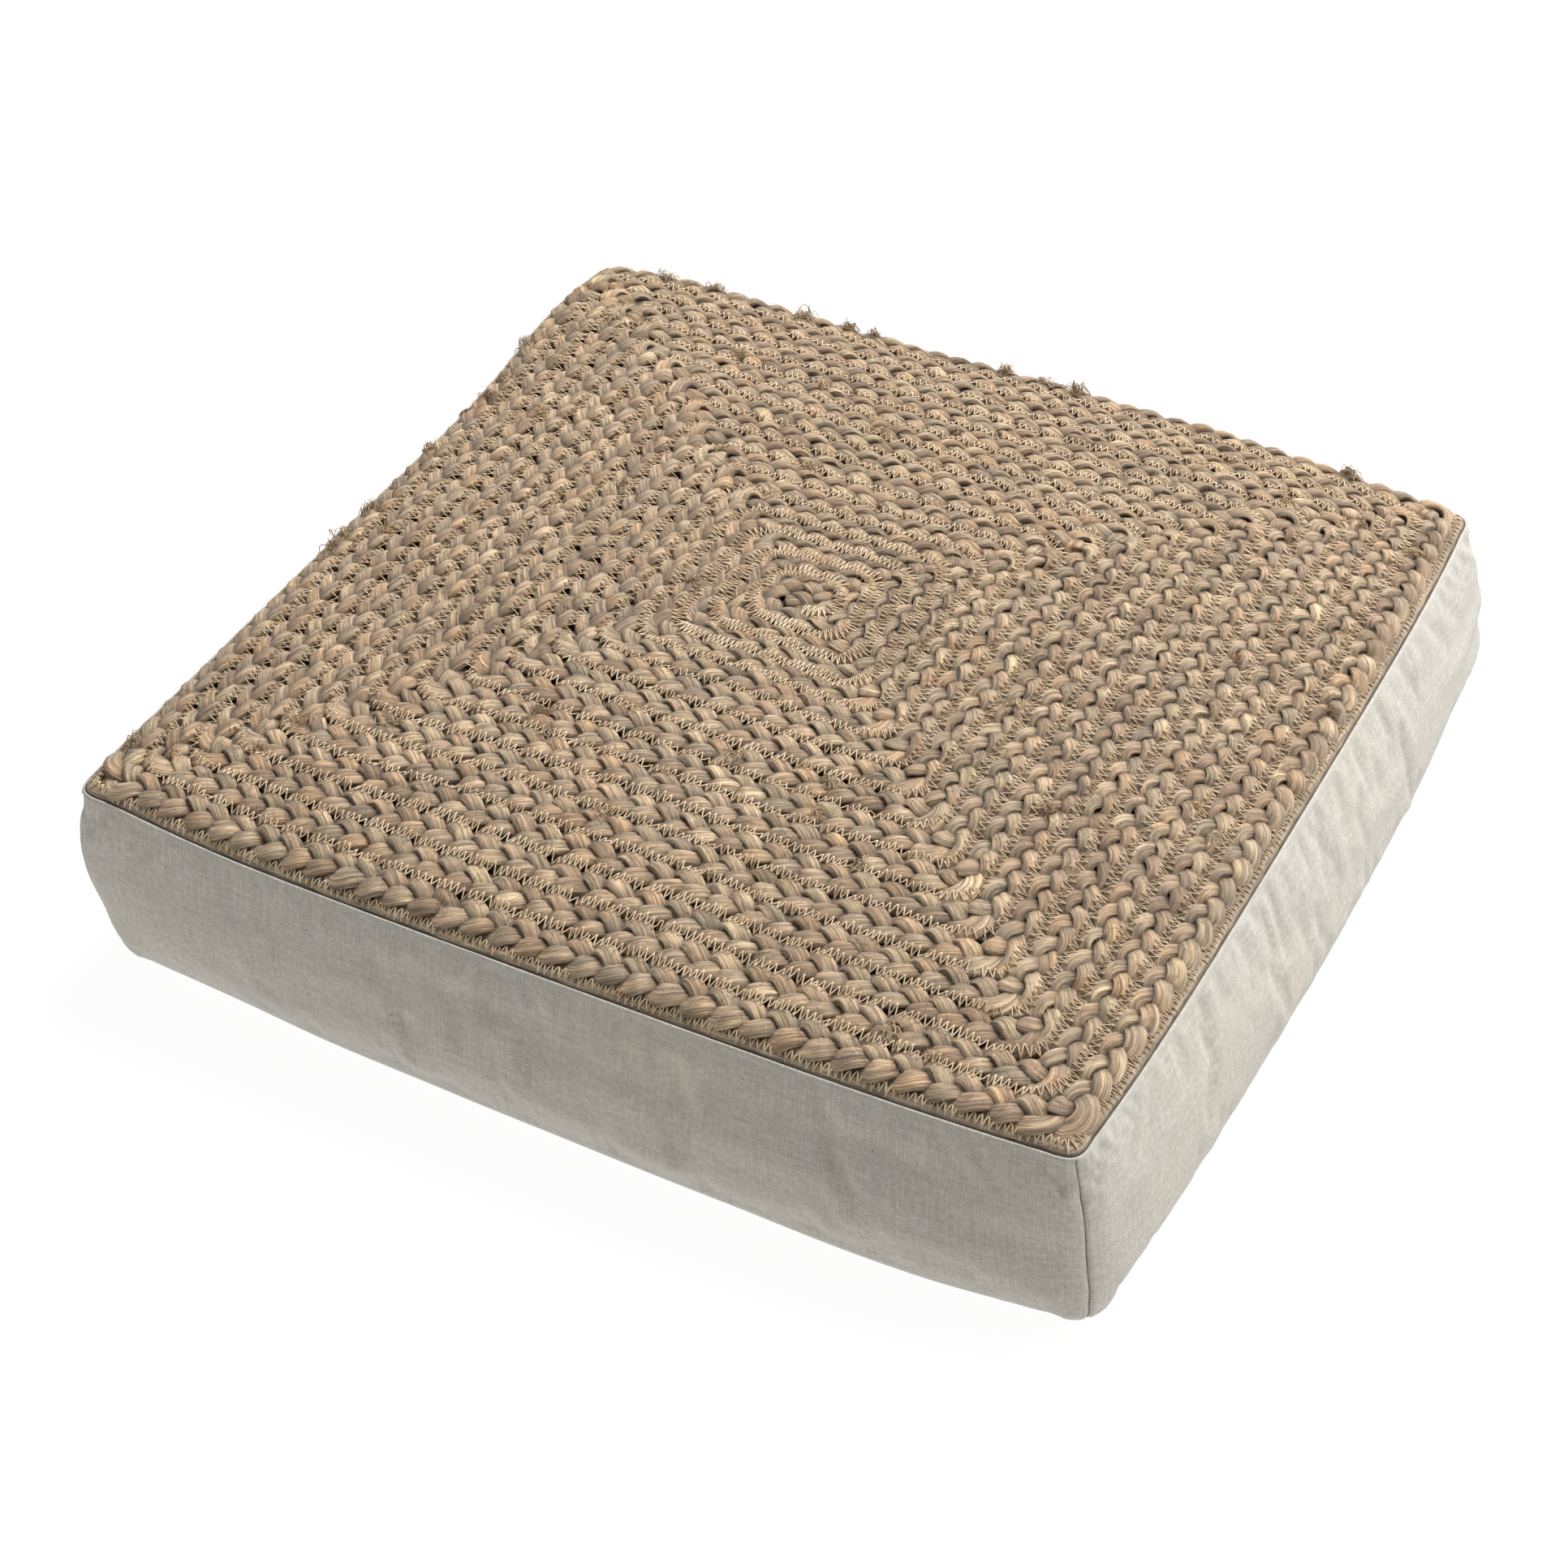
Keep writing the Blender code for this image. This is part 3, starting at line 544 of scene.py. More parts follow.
def plastic_look(name, colour, dark, roughness):
    s = Shade(name, colour, roughness)
    grain = s.noise(s.place(), 700.0, 3.0)
    worn = s.noise(s.place(), 60.0, 2.0)
    return s.finish(s.mix(s.spread(worn, 0.35, 0.7, 0.5, 0.0), colour, dark),
                    s.spread(grain, 0.3, 0.7, roughness - 0.08, roughness + 0.12),
                    s.bump(grain, 0.00004, 0.4))


def metal_look():
    """Brushed nickel plate, duller where fingers reach it."""
    s = Shade("brushed_nickel", srgb(186, 182, 172), 0.34, Metallic=1.0)
    lines = s.noise(s.scaled(s.place(), 300, 300, 4200), 1.0, 2.0)
    worn = s.noise(s.place(), 240.0, 3.0)
    return s.finish(s.mix(s.spread(worn, 0.4, 0.7), srgb(196, 192, 182), srgb(150, 145, 134)),
                    s.spread(worn, 0.3, 0.75, 0.26, 0.48), s.bump(lines, 0.00003, 0.5))


def fibre_look():
    s = Shade("fibre_wadding", srgb(240, 239, 234), 0.95, Sheen_Weight=0.3)
    tangle = s.noise(s.place(), 160.0, 5.0, 0.7, 1.5)
    return s.finish(s.mix(s.spread(tangle, 0.3, 0.7), srgb(214, 212, 204), srgb(246, 245, 241)),
                    s.spread(tangle, 0.3, 0.7, 0.98, 0.86), s.bump(tangle, 0.002, 0.8))


LOOK = {
    "jute": jute_look(),
    "thread": thread_look("straw_thread", srgb(229, 208, 176), srgb(178, 151, 118)),
    "seam": thread_look("olive_seam_thread", srgb(150, 145, 124), srgb(104, 98, 80)),
    # the top seam's thread, darkened as a painted shadow of the gap between canvas and jute
    "shadow": thread_look("painted_shadow_seam_thread", srgb(92, 78, 62), srgb(52, 43, 34)),
    "canvas": canvas_look(),
    "lining": cloth_look("jute_lining", srgb(132, 110, 84), srgb(88, 70, 52), 0.0009),
    "case": cloth_look("cotton_case", srgb(236, 234, 228), srgb(200, 197, 188), 0.0006),
    "fibre": fibre_look(),
    "tape": cloth_look("zip_tape", srgb(214, 209, 194), srgb(166, 160, 144), 0.0005),
    "nylon": plastic_look("nylon_teeth", srgb(222, 216, 200), srgb(190, 183, 165), 0.42),
    "metal": metal_look(),
}


# ---- the braid
PALETTE = np.array([srgb(*c)[:3] for c in (
    (186, 166, 138), (168, 151, 128), (196, 174, 148), (188, 156, 120),
    (160, 145, 125), (203, 184, 153), (182, 158, 134), (146, 122, 94),
)])


def strand_rings(index, at, path, out, share):
    """Centre points, ring radii and colours of one strand of the plait."""
    rng = rng_for(f"strand{index}")
    phase = 2 * math.pi * (at / PLAIT + index / 3) + 0.30 * wander(at, 0.12, rng)
    heart = 1 - smooth((at - 0.35) / 1.5)
    narrow = 1 - 0.17 * heart
    swing = SWING * narrow * (1 + 0.07 * wander(at, 0.030, rng))
    lateral = swing * np.sin(phase) + 0.00035 * wander(at, 0.018, rng)
    grow = np.where(lateral > 0, 1 + 0.72 * share, 1 + 0.25 * share)
    lateral = lateral * grow
    low = STRAND_MIDDLE * (1 - 0.12 * heart) + 0.0004 * wander(at, 0.040, rng)
    height = low - LIFT_SWING * (1 - 0.25 * heart) * np.sin(2 * phase) * (1 + 0.15 * wander(at, 0.020, rng))
    height = height + EDGE_LIFT * np.sin(phase) ** 2
    centre = np.stack([path[:, 0] + out[:, 0] * lateral, path[:, 1] + out[:, 1] * lateral, height], -1)
    tangent, side, normal = frames_along(centre)
    roll = -0.42 * np.sin(phase) ** 3
    wide = np.cos(roll)[:, None] * side + np.sin(roll)[:, None] * normal
    thick = np.cos(roll)[:, None] * normal - np.sin(roll)[:, None] * side
    half_wide = STRAND_WIDE * narrow * (1 + 0.12 * wander(at, 0.013, rng)) * (1 + 0.24 * share)
    half_thick = STRAND_THICK * (1 + 0.12 * wander(at, 0.011, rng)) * (1 - 0.1 * heart)
    angle = np.arange(RING) / RING * 2 * math.pi
    ca, sa = np.cos(angle), np.sin(angle)
    ridge_at = at / 0.014
    cells = rng.normal(0, 1, (int(ridge_at.max()) + 3, RING))
    ridges = between(cells, ridge_at)
    bulk = 1 + 0.105 * np.clip(ridges, -1.6, 1.6)
    points = (
        centre[:, None]
        + wide[:, None] * (half_wide[:, None] * np.sign(ca) * np.abs(ca) ** 0.9 * bulk)[..., None]
        + thick[:, None] * (half_thick[:, None] * np.sign(sa) * np.abs(sa) ** 0.85 * bulk)[..., None]
    )
    pick = np.clip((wander(at, 0.034, rng) * 0.5 + 0.5) * len(PALETTE), 0, len(PALETTE) - 1.001)
    low_pick = pick.astype(int)
    g = (pick - low_pick)[:, None]
    colour = PALETTE[low_pick] * (1 - g) + PALETTE[np.minimum(low_pick + 1, len(PALETTE) - 1)] * g
    colour = colour * 0.80 + PALETTE.mean(0) * 0.20
    bright = 1 + 0.09 * wander(at, 0.021, rng) + 0.06 * wander(at, 0.30, rng)
    colour = colour * bright[:, None]
    colour = colour[:, None] * (1 + 0.15 * np.clip(ridges, -2, 2))[..., None]
    return points, colour


def shade_hollows(points, colour, top):
    """Painted shade between the strands: darker and browner where a point lies low among its neighbours and
    near the lining.
    """
    hollow = points[..., 2] - top(points[..., 0], points[..., 1])
    light = smooth((hollow + 0.0016) / 0.0026)
    deep = smooth((points[..., 2] - 0.0010) / 0.0040)
    light = (0.40 + 0.70 * light) * (0.50 + 0.50 * deep)
    return colour * [1.08, 1.03, 0.965] * light[..., None] ** np.array([1.0, 1.06, 1.16])


def build_braid():
    distances = [distance_of(i) for i in range(SIDES)]
    fine = 0.0008
    at, path, turns = coil(distances, 0, TURN, fine, -0.013, BRAID_REACH + 0.006)
    out = outward_of(path)
    share = corner_share(at, turns, 0.0095)
    stride = int(round(STRAND_STEP / fine))
    keep = np.arange(0, len(at), stride)
    at, path, out, share = at[keep], path[keep], out[keep], share[keep]
    strands = [strand_rings(k, at, path, out, share) for k in range(3)]
    rings = [points for points, colour in strands]
    around_top = height_map(rings, spread=2)
    for k, (points, colour) in enumerate(strands):
        # painted shade: the strands' colours are darkened and browned in the hollows
        colour = shade_hollows(points, colour, around_top)
        half = len(at) * 11 // 20
        for part, (a, b) in (("inner", (0, half + 1)), ("outer", (half, len(at)))):
            pts, col = points[a:b], colour[a:b]
            n = b - a
            faces = np.concatenate([tube_faces(n, RING), cap_faces(n, RING)])
            length = at[a:b] + 30.0 * k
            uv = wrap_uv(length[:-1], length[1:], RING, GIRTH / RING)
            uv = np.concatenate([uv, np.zeros((4 * (RING - 2), 2))])
            mesh_piece(f"braid_strand_{k + 1}_{part}", lay(pts.reshape(-1, 3)), faces, "jute",
                       "jute_braid", uv, col.reshape(-1, 3))
    return rings


def height_map(rings, spread=0, cell=0.0012, half=0.306):
    """The braid's upper surface in flat coordinates, averaged over spread cells each way."""
    count = int(2 * half / cell) + 1
    top = np.zeros((count, count))

    def cells_of(v):
        return np.clip(((v + half) / cell).astype(int), 0, count - 1)

    for points in rings:
        for a in np.linspace(0, 1, 3, endpoint=False):
            along = points[:-1] * (1 - a) + points[1:] * a
            for b in (0.0, 0.5):
                p = along * (1 - b) + np.roll(along, -1, axis=1) * b
                np.maximum.at(top, tuple(cells_of(v) for v in (p[..., 0], p[..., 1])), p[..., 2])
    if spread:
        moved = [(a, b) for a in range(-spread, spread + 1) for b in range(-spread, spread + 1)]
        top = sum(np.roll(top, m, (0, 1)) for m in moved) / len(moved)

    def height_at(x, y):
        return top[cells_of(x), cells_of(y)]
    return height_at


def strokes_between(ends):
    """Values at the five points of each stroke, from one end to the next."""
    share = STROKE.reshape(-1, *([1] * (ends.ndim - 1)))
    return ends[:-1, None] * (1 - share) + ends[1:, None] * share


def zigzag(at, path, swing, step, top_at, rng):
    """Thread that runs to and fro across a groove, five points to each stroke."""
    marks = [0.0]
    while marks[-1] < at[-1] - 0.004:
        marks.append(marks[-1] + step(marks[-1]) * rng.uniform(0.82, 1.18) / 2)
    marks = np.array(marks)
    sign = np.where(np.arange(len(marks)) % 2, 1.0, -1.0)
    reach = np.array([swing(m) for m in marks]) * sign * rng.uniform(0.78, 1.2, len(marks))
    ends = sample(marks, at, path) + sample(marks, at, outward_of(path)) * reach[:, None]
    strokes = strokes_between(ends)
    z = top_at(strokes[..., 0], strokes[..., 1])
    first, last = np.maximum(z[:, :1], 0.0042), np.maximum(z[:, -1:], 0.0042)
    taut = first * (1 - STROKE) + last * STROKE - 0.0005 * np.sin(STROKE * math.pi)
    z = np.maximum(z, taut) + 0.00050
    z[:, [0, -1]] -= SINK
    return np.concatenate([strokes, z[..., None]], -1)


def build_stitching(top_at):
    """The zigzag along every groove between two rounds, denser and wider at the heart."""
    distances = [(distance_of(i) + distance_of(i + 4)) / 2 for i in range(SIDES - 4)]
    at, path, _ = coil(distances, 0, TURN + 0.004, 0.0010, 0.0, BRAID_REACH)
    heart = lambda m: 1 - smooth((m - 0.5) / 1.3)
    strokes = zigzag(
        at, path,
        lambda m: 0.0031 + 0.0014 * heart(m) + 0.0003 * math.sin(m * 9.0),
        lambda m: 0.0039 - 0.0009 * heart(m) - 0.0004 * math.sin(m * 5.3) ** 2,
        top_at, rng_for("groove"),
    )
    half = len(strokes) // 2
    for name, part in (("inner", strokes[:half]), ("outer", strokes[half:])):
        points, faces = thin_tubes(lay(part), THREAD)
        uv = patch_uv(faces, *THREAD_PATCH)
        mesh_piece(f"round_stitching_{name}", points, faces, "thread", "round_stitching", uv)


# ---- the canvas cover
def side_columns():
    """Stations along one side, from corner middle to corner middle: (straight share, corner angle)."""
    bend = [(-1.0, a) for a in np.linspace(math.pi / 4, 0, 7)[:-1]]
    marks = np.concatenate([
        np.linspace(-STRAIGHT, -ZIP_HALF, 8)[:-1],
        np.linspace(-ZIP_HALF, ZIP_HALF, 71),
        np.linspace(ZIP_HALF, STRAIGHT, 8)[1:],
    ])
    flat = [(m / STRAIGHT, 0.0) for m in marks]
    return bend + flat + [(1.0, a) for a in np.linspace(0, math.pi / 4, 7)[1:]]


COLUMNS = side_columns()
AROUND = [(side, column) for side in range(4) for column in range(len(COLUMNS) - 1)]
ZIP_LOW, ZIP_HIGH = WAIST - SLOT, WAIST + SLOT


def wall_levels():
    """Rows of the cover from the seam down and under: (height, inward step)."""
    rows = [(z, 0.0) for z in np.linspace(SEAM, ZIP_HIGH, 9)[:-1]]
    rows += [(z, 0.0) for z in np.linspace(ZIP_HIGH, ZIP_LOW, 4)]
    rows += [(z, 0.0) for z in np.linspace(ZIP_LOW, BASE_ROUND, 6)[1:]]
    for angle in np.linspace(0, math.pi / 2, 9)[1:]:
        rows.append((BASE_ROUND * (1 - math.sin(angle)), BASE_ROUND * (1 - math.cos(angle))))
    return rows


LEVELS = wall_levels()
ROW_HIGH = 8
ROW_LOW = 11


def cover_point(side, column, level):
    straight, angle = COLUMNS[column]
    z, inward = LEVELS[level]
    share = np.clip((SEAM - z) / (SEAM - WAIST), 0, 1)
    swell = BAND_SWELL * math.sin(share * math.pi / 2)
    if z < WAIST:
        swell = BAND_SWELL * (1 - 0.25 * (WAIST - z) / WAIST)
    along = straight * STRAIGHT
    mid = 1 - (along / SPAN) ** 4
    rim = RIM_CORNER + (RIM_MID - RIM_CORNER) * mid
    if side == 2:
        near = math.exp(-(((z - WAIST) / 0.020) ** 2))
        swell = swell * (1 - near) + (BACK - rim - CANVAS_OUT) * near
    reach = rim + CANVAS_OUT + swell - inward
    if angle == 0.0:
        x, y = along, -reach
    else:
        square = 3.4 - 1.3 * np.clip((SEAM - z) / SEAM, 0, 1)
        r = reach - STRAIGHT
        x = math.copysign(STRAIGHT + r * math.sin(angle) ** (2 / square), straight)
        y = -(STRAIGHT + r * math.cos(angle) ** (2 / square))
    for _ in range(side):
        x, y = -y, x
    return x, y, z


def cover_grid():
    """The wall grid, round the cushion: (levels, columns round, 3), front, right, back, left."""
    return np.array([[cover_point(*station, k) for station in AROUND] for k in range(len(LEVELS))])


def fill_out(grid):
    """Lets the fibre push the canvas band out: a cloth with pressure inside, held at the seam and base."""
    levels, columns, _ = grid.shape
    under = grid[-1] * [1.0, 1.0, 0.0]
    inner = under * [0.90, 0.90, 1.0] + [0, 0, 0.0005]
    lid = grid[0] * [0.97, 0.97, 1.0] + [0, 0, 0.002]
    rows = np.concatenate([lid[None], grid, inner[None]])
    points = np.concatenate([rows.reshape(-1, 3), [[0, 0, SEAM + 0.012], [0, 0, 0.0005]]])
    n = len(rows)
    faces = np.roll(tube_faces(n, columns)[:, ::-1], 1, axis=1).tolist()
    top, base = len(points) - 2, len(points) - 1
    for c in range(columns):
        d = (c + 1) % columns
        faces.append([top, c, d])
        faces.append([base, (n - 1) * columns + d, (n - 1) * columns + c])
    mesh = bpy.data.meshes.new("fill_out")
    mesh.from_pydata(points.tolist(), [], faces)
    obj = add_object("fill_out", mesh)
    hold = obj.vertex_groups.new(name="held")
    near_zip = (np.abs(grid[..., 2] - WAIST) < 0.0115) & (np.abs(grid[..., 0]) < ZIP_HALF + 0.014)
    held = np.ones((n, columns), bool)
    held[2 : levels - 2] = (near_zip & np.array([side == 2 for side, _ in AROUND]))[1 : levels - 3]
    hold.add(np.nonzero(np.append(held, [True, True]))[0].tolist(), 1.0, "REPLACE")
    cloth = obj.modifiers.new("fill", "CLOTH")
    for key, value in (
        ("quality", 6), ("mass", 0.3), ("tension_stiffness", 12), ("compression_stiffness", 6),
        ("shear_stiffness", 4), ("bending_stiffness", 0.4), ("vertex_group_mass", "held"),
        ("use_pressure", True), ("uniform_pressure_force", 4.0), ("shrink_min", -0.012),
    ):
        setattr(cloth.settings, key, value)
    cloth.settings.effector_weights.gravity = 0.0
    scene = bpy.context.scene
    for span in (scene, cloth.point_cache):
        span.frame_start, span.frame_end = 1, FRAMES
    for number in range(1, FRAMES + 1):
        scene.frame_set(number)
    graph = bpy.context.evaluated_depsgraph_get()
    result = obj.evaluated_get(graph).to_mesh()
    co = np.zeros(len(result.vertices) * 3)
    result.vertices.foreach_get("co", co)
    co = co.reshape(-1, 3)
    obj.evaluated_get(graph).to_mesh_clear()
    scene.frame_set(1)
    bpy.data.objects.remove(obj)
    bpy.data.meshes.remove(mesh)
    moved = co[: n * columns].reshape(n, columns, 3)[1:-1] - grid
    facing = grid[..., :2] - np.clip(grid[..., :2], -STRAIGHT, STRAIGHT)
    facing /= np.linalg.norm(facing, axis=2)[..., None] + 1e-6
    outward = (moved[..., :2] * facing).sum(2)
    moved[..., :2] += facing * (np.clip(outward, -0.0010, 0.0060) - outward)[..., None]
    moved[..., 2] = np.clip(moved[..., 2], -0.0020, 0.0012)
    length = np.linalg.norm(moved, axis=2)[..., None]
    return grid + moved * np.minimum(1, 0.0075 / (length + 1e-9))


def refine(values, factor, closed):
    """Smoothly resamples the first axis to factor times as many stations."""
    count = len(values)
    stations = np.arange(count * factor if closed else (count - 1) * factor + 1) / factor
    low = stations.astype(int)
    t = (stations - low).reshape(-1, *([1] * (values.ndim - 1)))
    p0, p1, p2, p3 = (values[(low + k) % count if closed else np.clip(low + k, 0, count - 1)]
                      for k in (-1, 0, 1, 2))
    if not closed:
        p0 = np.where((low == 0).reshape(t.shape), 2 * p1 - p2, p0)
        p3 = np.where((low >= count - 2).reshape(t.shape), 2 * p2 - p1, p3)
    return p1 + 0.5 * t * (p2 - p0 + t * (2 * p0 - 5 * p1 + 4 * p2 - p3 + t * (3 * (p1 - p2) + p3 - p0)))


def grid_normals(grid):
    down = np.gradient(grid, axis=0)
    across = (np.roll(grid, -1, 1) - np.roll(grid, 1, 1)) / 2
    return unit(np.cross(down, across))


def build_cover():
    """The cover's outer surface as one grid, with puckers, creases and the lip that folds over the seam."""
    grid = cover_grid()
    grid = fill_out(grid)
    per_side = len(COLUMNS) - 1
    grid = refine(grid, FINE, False)
    grid = refine(grid.transpose(1, 0, 2), FINE, True).transpose(1, 0, 2)
    rows, columns, _ = grid.shape
    normal = grid_normals(grid)
    around, down = length_along(grid[0]), length_along(grid[:, per_side])
    rng = rng_for("canvas")
    # puckers under the seam, soft creases over the band
    seam_near = np.exp(-((down / 0.016) ** 2)) * smooth(down / 0.004)
    pucker = np.abs(wander(around, 0.0075, rng)) * (0.5 + 0.5 * wander(around, 0.06, rng))
    shift = 0.0016 * seam_near[:, None] * (pucker - 0.3)[None]
    u = around[None] + 0.03 * np.sin(down * 40)[:, None]
    crease = field(u / 6.0 - 0.2, np.broadcast_to(down[:, None] - 0.1, u.shape), 0.013, rng)
    shift = shift + 0.0011 * crease * smooth(down / 0.03)[:, None]
    per_side *= FINE
    side_index = (np.arange(columns) // per_side) % 4
    station = np.arange(columns) % per_side
    to_corner = np.minimum(station, per_side - station)
    corner = np.exp(-((to_corner / 1.3) ** 2))
    shift = shift - 0.0011 * corner[None] * smooth(down / 0.003)[:, None]
    zip_near = np.zeros((rows, columns))
    back = side_index == 2
    zip_near[:, back] = np.exp(-(((grid[:, back, 2] - WAIST) / 0.014) ** 4))
    shift = shift * (1 - zip_near)
    grid = grid + normal * shift[..., None]
    # the upper edge folds in over the seam
    lip = [(0.0005, 0.0007), (0.0013, 0.0009), (0.0020, 0.0003), (0.0023, -0.0014)]
    inward = unit(-normal[0] * [1, 1, 0])
    extra = [grid[0] + inward * i + [0, 0, z] for i, z in lip]
    grid = np.concatenate([np.array(extra[::-1]), grid])
    grid[..., 2] = np.maximum(grid[..., 2], 0.0)
    down = np.concatenate([-np.cumsum([i for i, z in lip])[::-1] * 0.6, down])
    return settle(grid), down, per_side, len(lip)


def cover_panel(name, grid, down, rows, columns, node):
    """One panel of the cover with its thickness, from a window of the cover's grid."""
    window = slice(rows[0], rows[1] + 1)
    picked = np.arange(columns[0], columns[1] + 1) % grid.shape[1]
    outer = grid[window][:, picked]
    inner = outer - grid_normals(grid)[window][:, picked] * CLOTH
    inner[..., 2] = np.maximum(inner[..., 2], 0.0004)
    n, m = outer.shape[:2]
    points, faces = two_layers(outer, inner)
    u = np.tile(length_along(outer[n // 3])[None], (n, 1)).ravel() + 3.0 * (columns[0] / grid.shape[1])
    v = np.tile(down[window, None], (1, m)).ravel()
    pairs = np.tile(np.stack([u, v], -1), (2, 1))
    obj = mesh_piece(name, points, faces, "canvas", node, pairs[faces.ravel()])


def build_band():
    """The upright panels: three whole sides, and the back in two tabs and two strips round the zip."""
    grid, down, per_side, lip = build_cover()
    last = grid.shape[0] - 1
    tall = 0.140
    for name, side in (("front", 0), ("right", 1), ("left", 3)):
        cover_panel(f"{name}_canvas", grid, down, (0, last), (side * per_side, (side + 1) * per_side),
                    f"{name}_panel")
    start, end = 2 * per_side, 3 * per_side
    tab = (6 + 7) * FINE    # the corner's columns and the straight ones up to the slit
    high, low = ROW_HIGH * FINE + lip, ROW_LOW * FINE + lip
    for name, rows, columns, node, flat in (
        ("tab_right", (0, last), (start, start + tab), "back_tab_right", (0.067, tall)),
        ("tab_left", (0, last), (end - tab, end), "back_tab_left", (0.067, tall)),
        ("upper", (0, high), (start + tab, end - tab), "back_strip_upper", (0.462, 0.055)),
        ("lower", (low, last), (start + tab, end - tab), "back_strip_lower", (0.462, 0.064)),
    ):
        cover_panel(f"back_canvas_{name}", grid, down, rows, columns, node)
    # the seams down the corners
    for name, side in (("front_right", 1), ("back_right", 2), ("back_left", 3), ("front_left", 0)):
        window = slice(lip, last - 2)
        line = grid[window, side * per_side] + grid_normals(grid)[window, side * per_side] * 0.00015
        points, faces = thin_tubes(line[None], SEAM_THREAD, 6)
        uv = patch_uv(faces, 0.0015, 0.0004)
        uv[:, 0] += np.repeat(np.arange(len(faces)) // 6 * 0.0015, 4)
        mesh_piece(f"corner_seam_{name}", points, faces, "seam", uv=uv)


def build_bottom():
    """The bottom panel: flat where it rests, joined to the band by a seam."""
    t = np.linspace(-1, 1, 70)
    x, y = np.meshgrid(t, t, indexing="ij")
    half, bend = 0.2745, 0.03
    px = x * half * (1 - bend * y**4 * x**2)
    py = y * half * (1 - bend * x**4 * y**2)
    z = 0.0001 + 0.0006 * np.clip(field(px, py, 0.05, rng_for("bottom")), 0, 1)
    low = settle(np.stack([px, py, z], -1))
    points, faces = two_layers(low + [0, 0, CLOTH], low)
    obj = mesh_piece("bottom_canvas", points, faces, "canvas", "bottom_panel")


# ---- edge of the top, lining
def seam_ring(inset):
    """The line of the top seam, moved inward: distance along it and its plan, closed."""
    ring = refine(np.array([cover_point(*station, 0)[:2] for station in AROUND]), 4, True)
    ring = ring - ring_outward(ring) * inset
    ring = np.concatenate([ring, ring[:1]])
    at = length_along(ring)
    marks = np.linspace(0, at[-1], int(at[-1] / 0.0025))[:-1]
    return marks, sample(marks, at, ring)


def swept_ring(name, inset, section, look, node, rough, tint=None):
    """A closed band round the top. section is (outward, up) points, going round."""
    rng = rng_for(name)
    marks, ring = seam_ring(inset)
    section = np.array(section)
    n, m = len(ring), len(section)
    grow = 1 + rough * np.stack([wander(marks, 0.007, rng) for _ in range(m)], -1)
    across, up = section[:, 0] * grow, section[:, 1] * grow
    plan = ring[:, None] + ring_outward(ring)[:, None] * across[..., None]
    points = settle(np.concatenate([plan, (SEAM + up)[..., None]], -1))
    uv = wrap_uv(marks + 7.0, marks + 7.0025, m, 0.0012)
    if tint is not None:
        bright = 1 + 0.10 * wander(marks, 0.012, rng) + 0.08 * wander(marks, 0.09, rng)
        ridged = 1 + 0.10 * np.stack([wander(marks, 0.02, rng) for _ in range(m)], -1)
        tint = (np.array(tint) * (bright[:, None] * ridged)[..., None]).reshape(-1, 3)
    mesh_piece(name, points.reshape(-1, 3), tube_faces(n, m, closed_path=True), look, node, uv, tint)


def build_edge():
    """The stitched down edge of the jute, the zigzag over it and the seam thread beside the canvas, darkened
    as painted shadow for the gap there.
    """
    swept_ring(
        "jute_hem", HEM_INSET,
        [(-0.0036, 0.0004), (0.0030, 0.0002), (0.0034, 0.0010), (0.0028, 0.0022), (0.0010, 0.0033),
         (-0.0012, 0.0040), (-0.0034, 0.0038), (-0.0040, 0.0014)],
        "jute", "jute_braid", 0.10, PALETTE[1] * 0.92,
    )
    # a seam thread in the groove, dark as a painted shadow of the gap between canvas and jute
    swept_ring(
        "top_seam_thread", 0.0024,
        [(math.cos(a) * 0.0006, 0.0006 + math.sin(a) * 0.0005) for a in np.arange(6) / 6 * 2 * math.pi],
        "shadow", None, 0.15,
    )
    rng = rng_for("hem")
    marks, ring = seam_ring(HEM_INSET)
    closed = np.concatenate([ring, ring[:1]])
    at = np.concatenate([marks, [marks[-1] + marks[1]]])
    ends = np.arange(0, at[-1], 0.00195)
    ends = ends + rng.uniform(-0.00025, 0.00025, len(ends))
    sign = np.where(np.arange(len(ends)) % 2, 1.0, -1.0)
    reach = np.where(sign > 0, 0.0029, 0.0040) * rng.uniform(0.8, 1.15, len(ends))
    plan = sample(ends, at, closed) + sample(ends, at, outward_of(closed)) * (sign * reach)[:, None]
    z = strokes_between(np.where(sign > 0, 0.0023, 0.0052)) + 0.0009 * np.sin(STROKE * math.pi)
    z[:, [0, -1]] -= SINK
    paths = settle(np.concatenate([strokes_between(plan), (SEAM + z)[..., None]], -1))
    points, faces = thin_tubes(paths, THREAD)
    mesh_piece("edge_stitching", points, faces, "thread", uv=patch_uv(faces, *THREAD_PATCH))


def build_lining():
    t = np.linspace(-1, 1, 90)
    x, y = np.meshgrid(t * 0.2925, t * 0.2925, indexing="ij")
    high = lay(np.stack([x, y, np.zeros_like(x)], -1))
    points, faces = two_layers(high, high - [0, 0, CLOTH])
    obj = mesh_piece("lining_cloth", points, faces, "lining", "top_lining")


def pad_ring(half, height):
    """A square with rounded corners, anticlockwise."""
    a = np.arange(PAD_AROUND) / PAD_AROUND * 2 * math.pi
    c, s = np.cos(a), np.sin(a)
    reach = half / (np.abs(c) ** 9 + np.abs(s) ** 9) ** (1 / 9)
    return np.column_stack([c * reach, s * reach, np.full(PAD_AROUND, height)])


def pad_top(offset):
    """Rings under the braided top, from the middle out, parallel to the lining."""
    return [lay(pad_ring(PAD_TOP * t, offset)) for t in np.linspace(0.02, 1, 26)]


def pad_wall(halves, heights):
    return [settle(pad_ring(half, height)) for half, height in zip(halves, heights)]


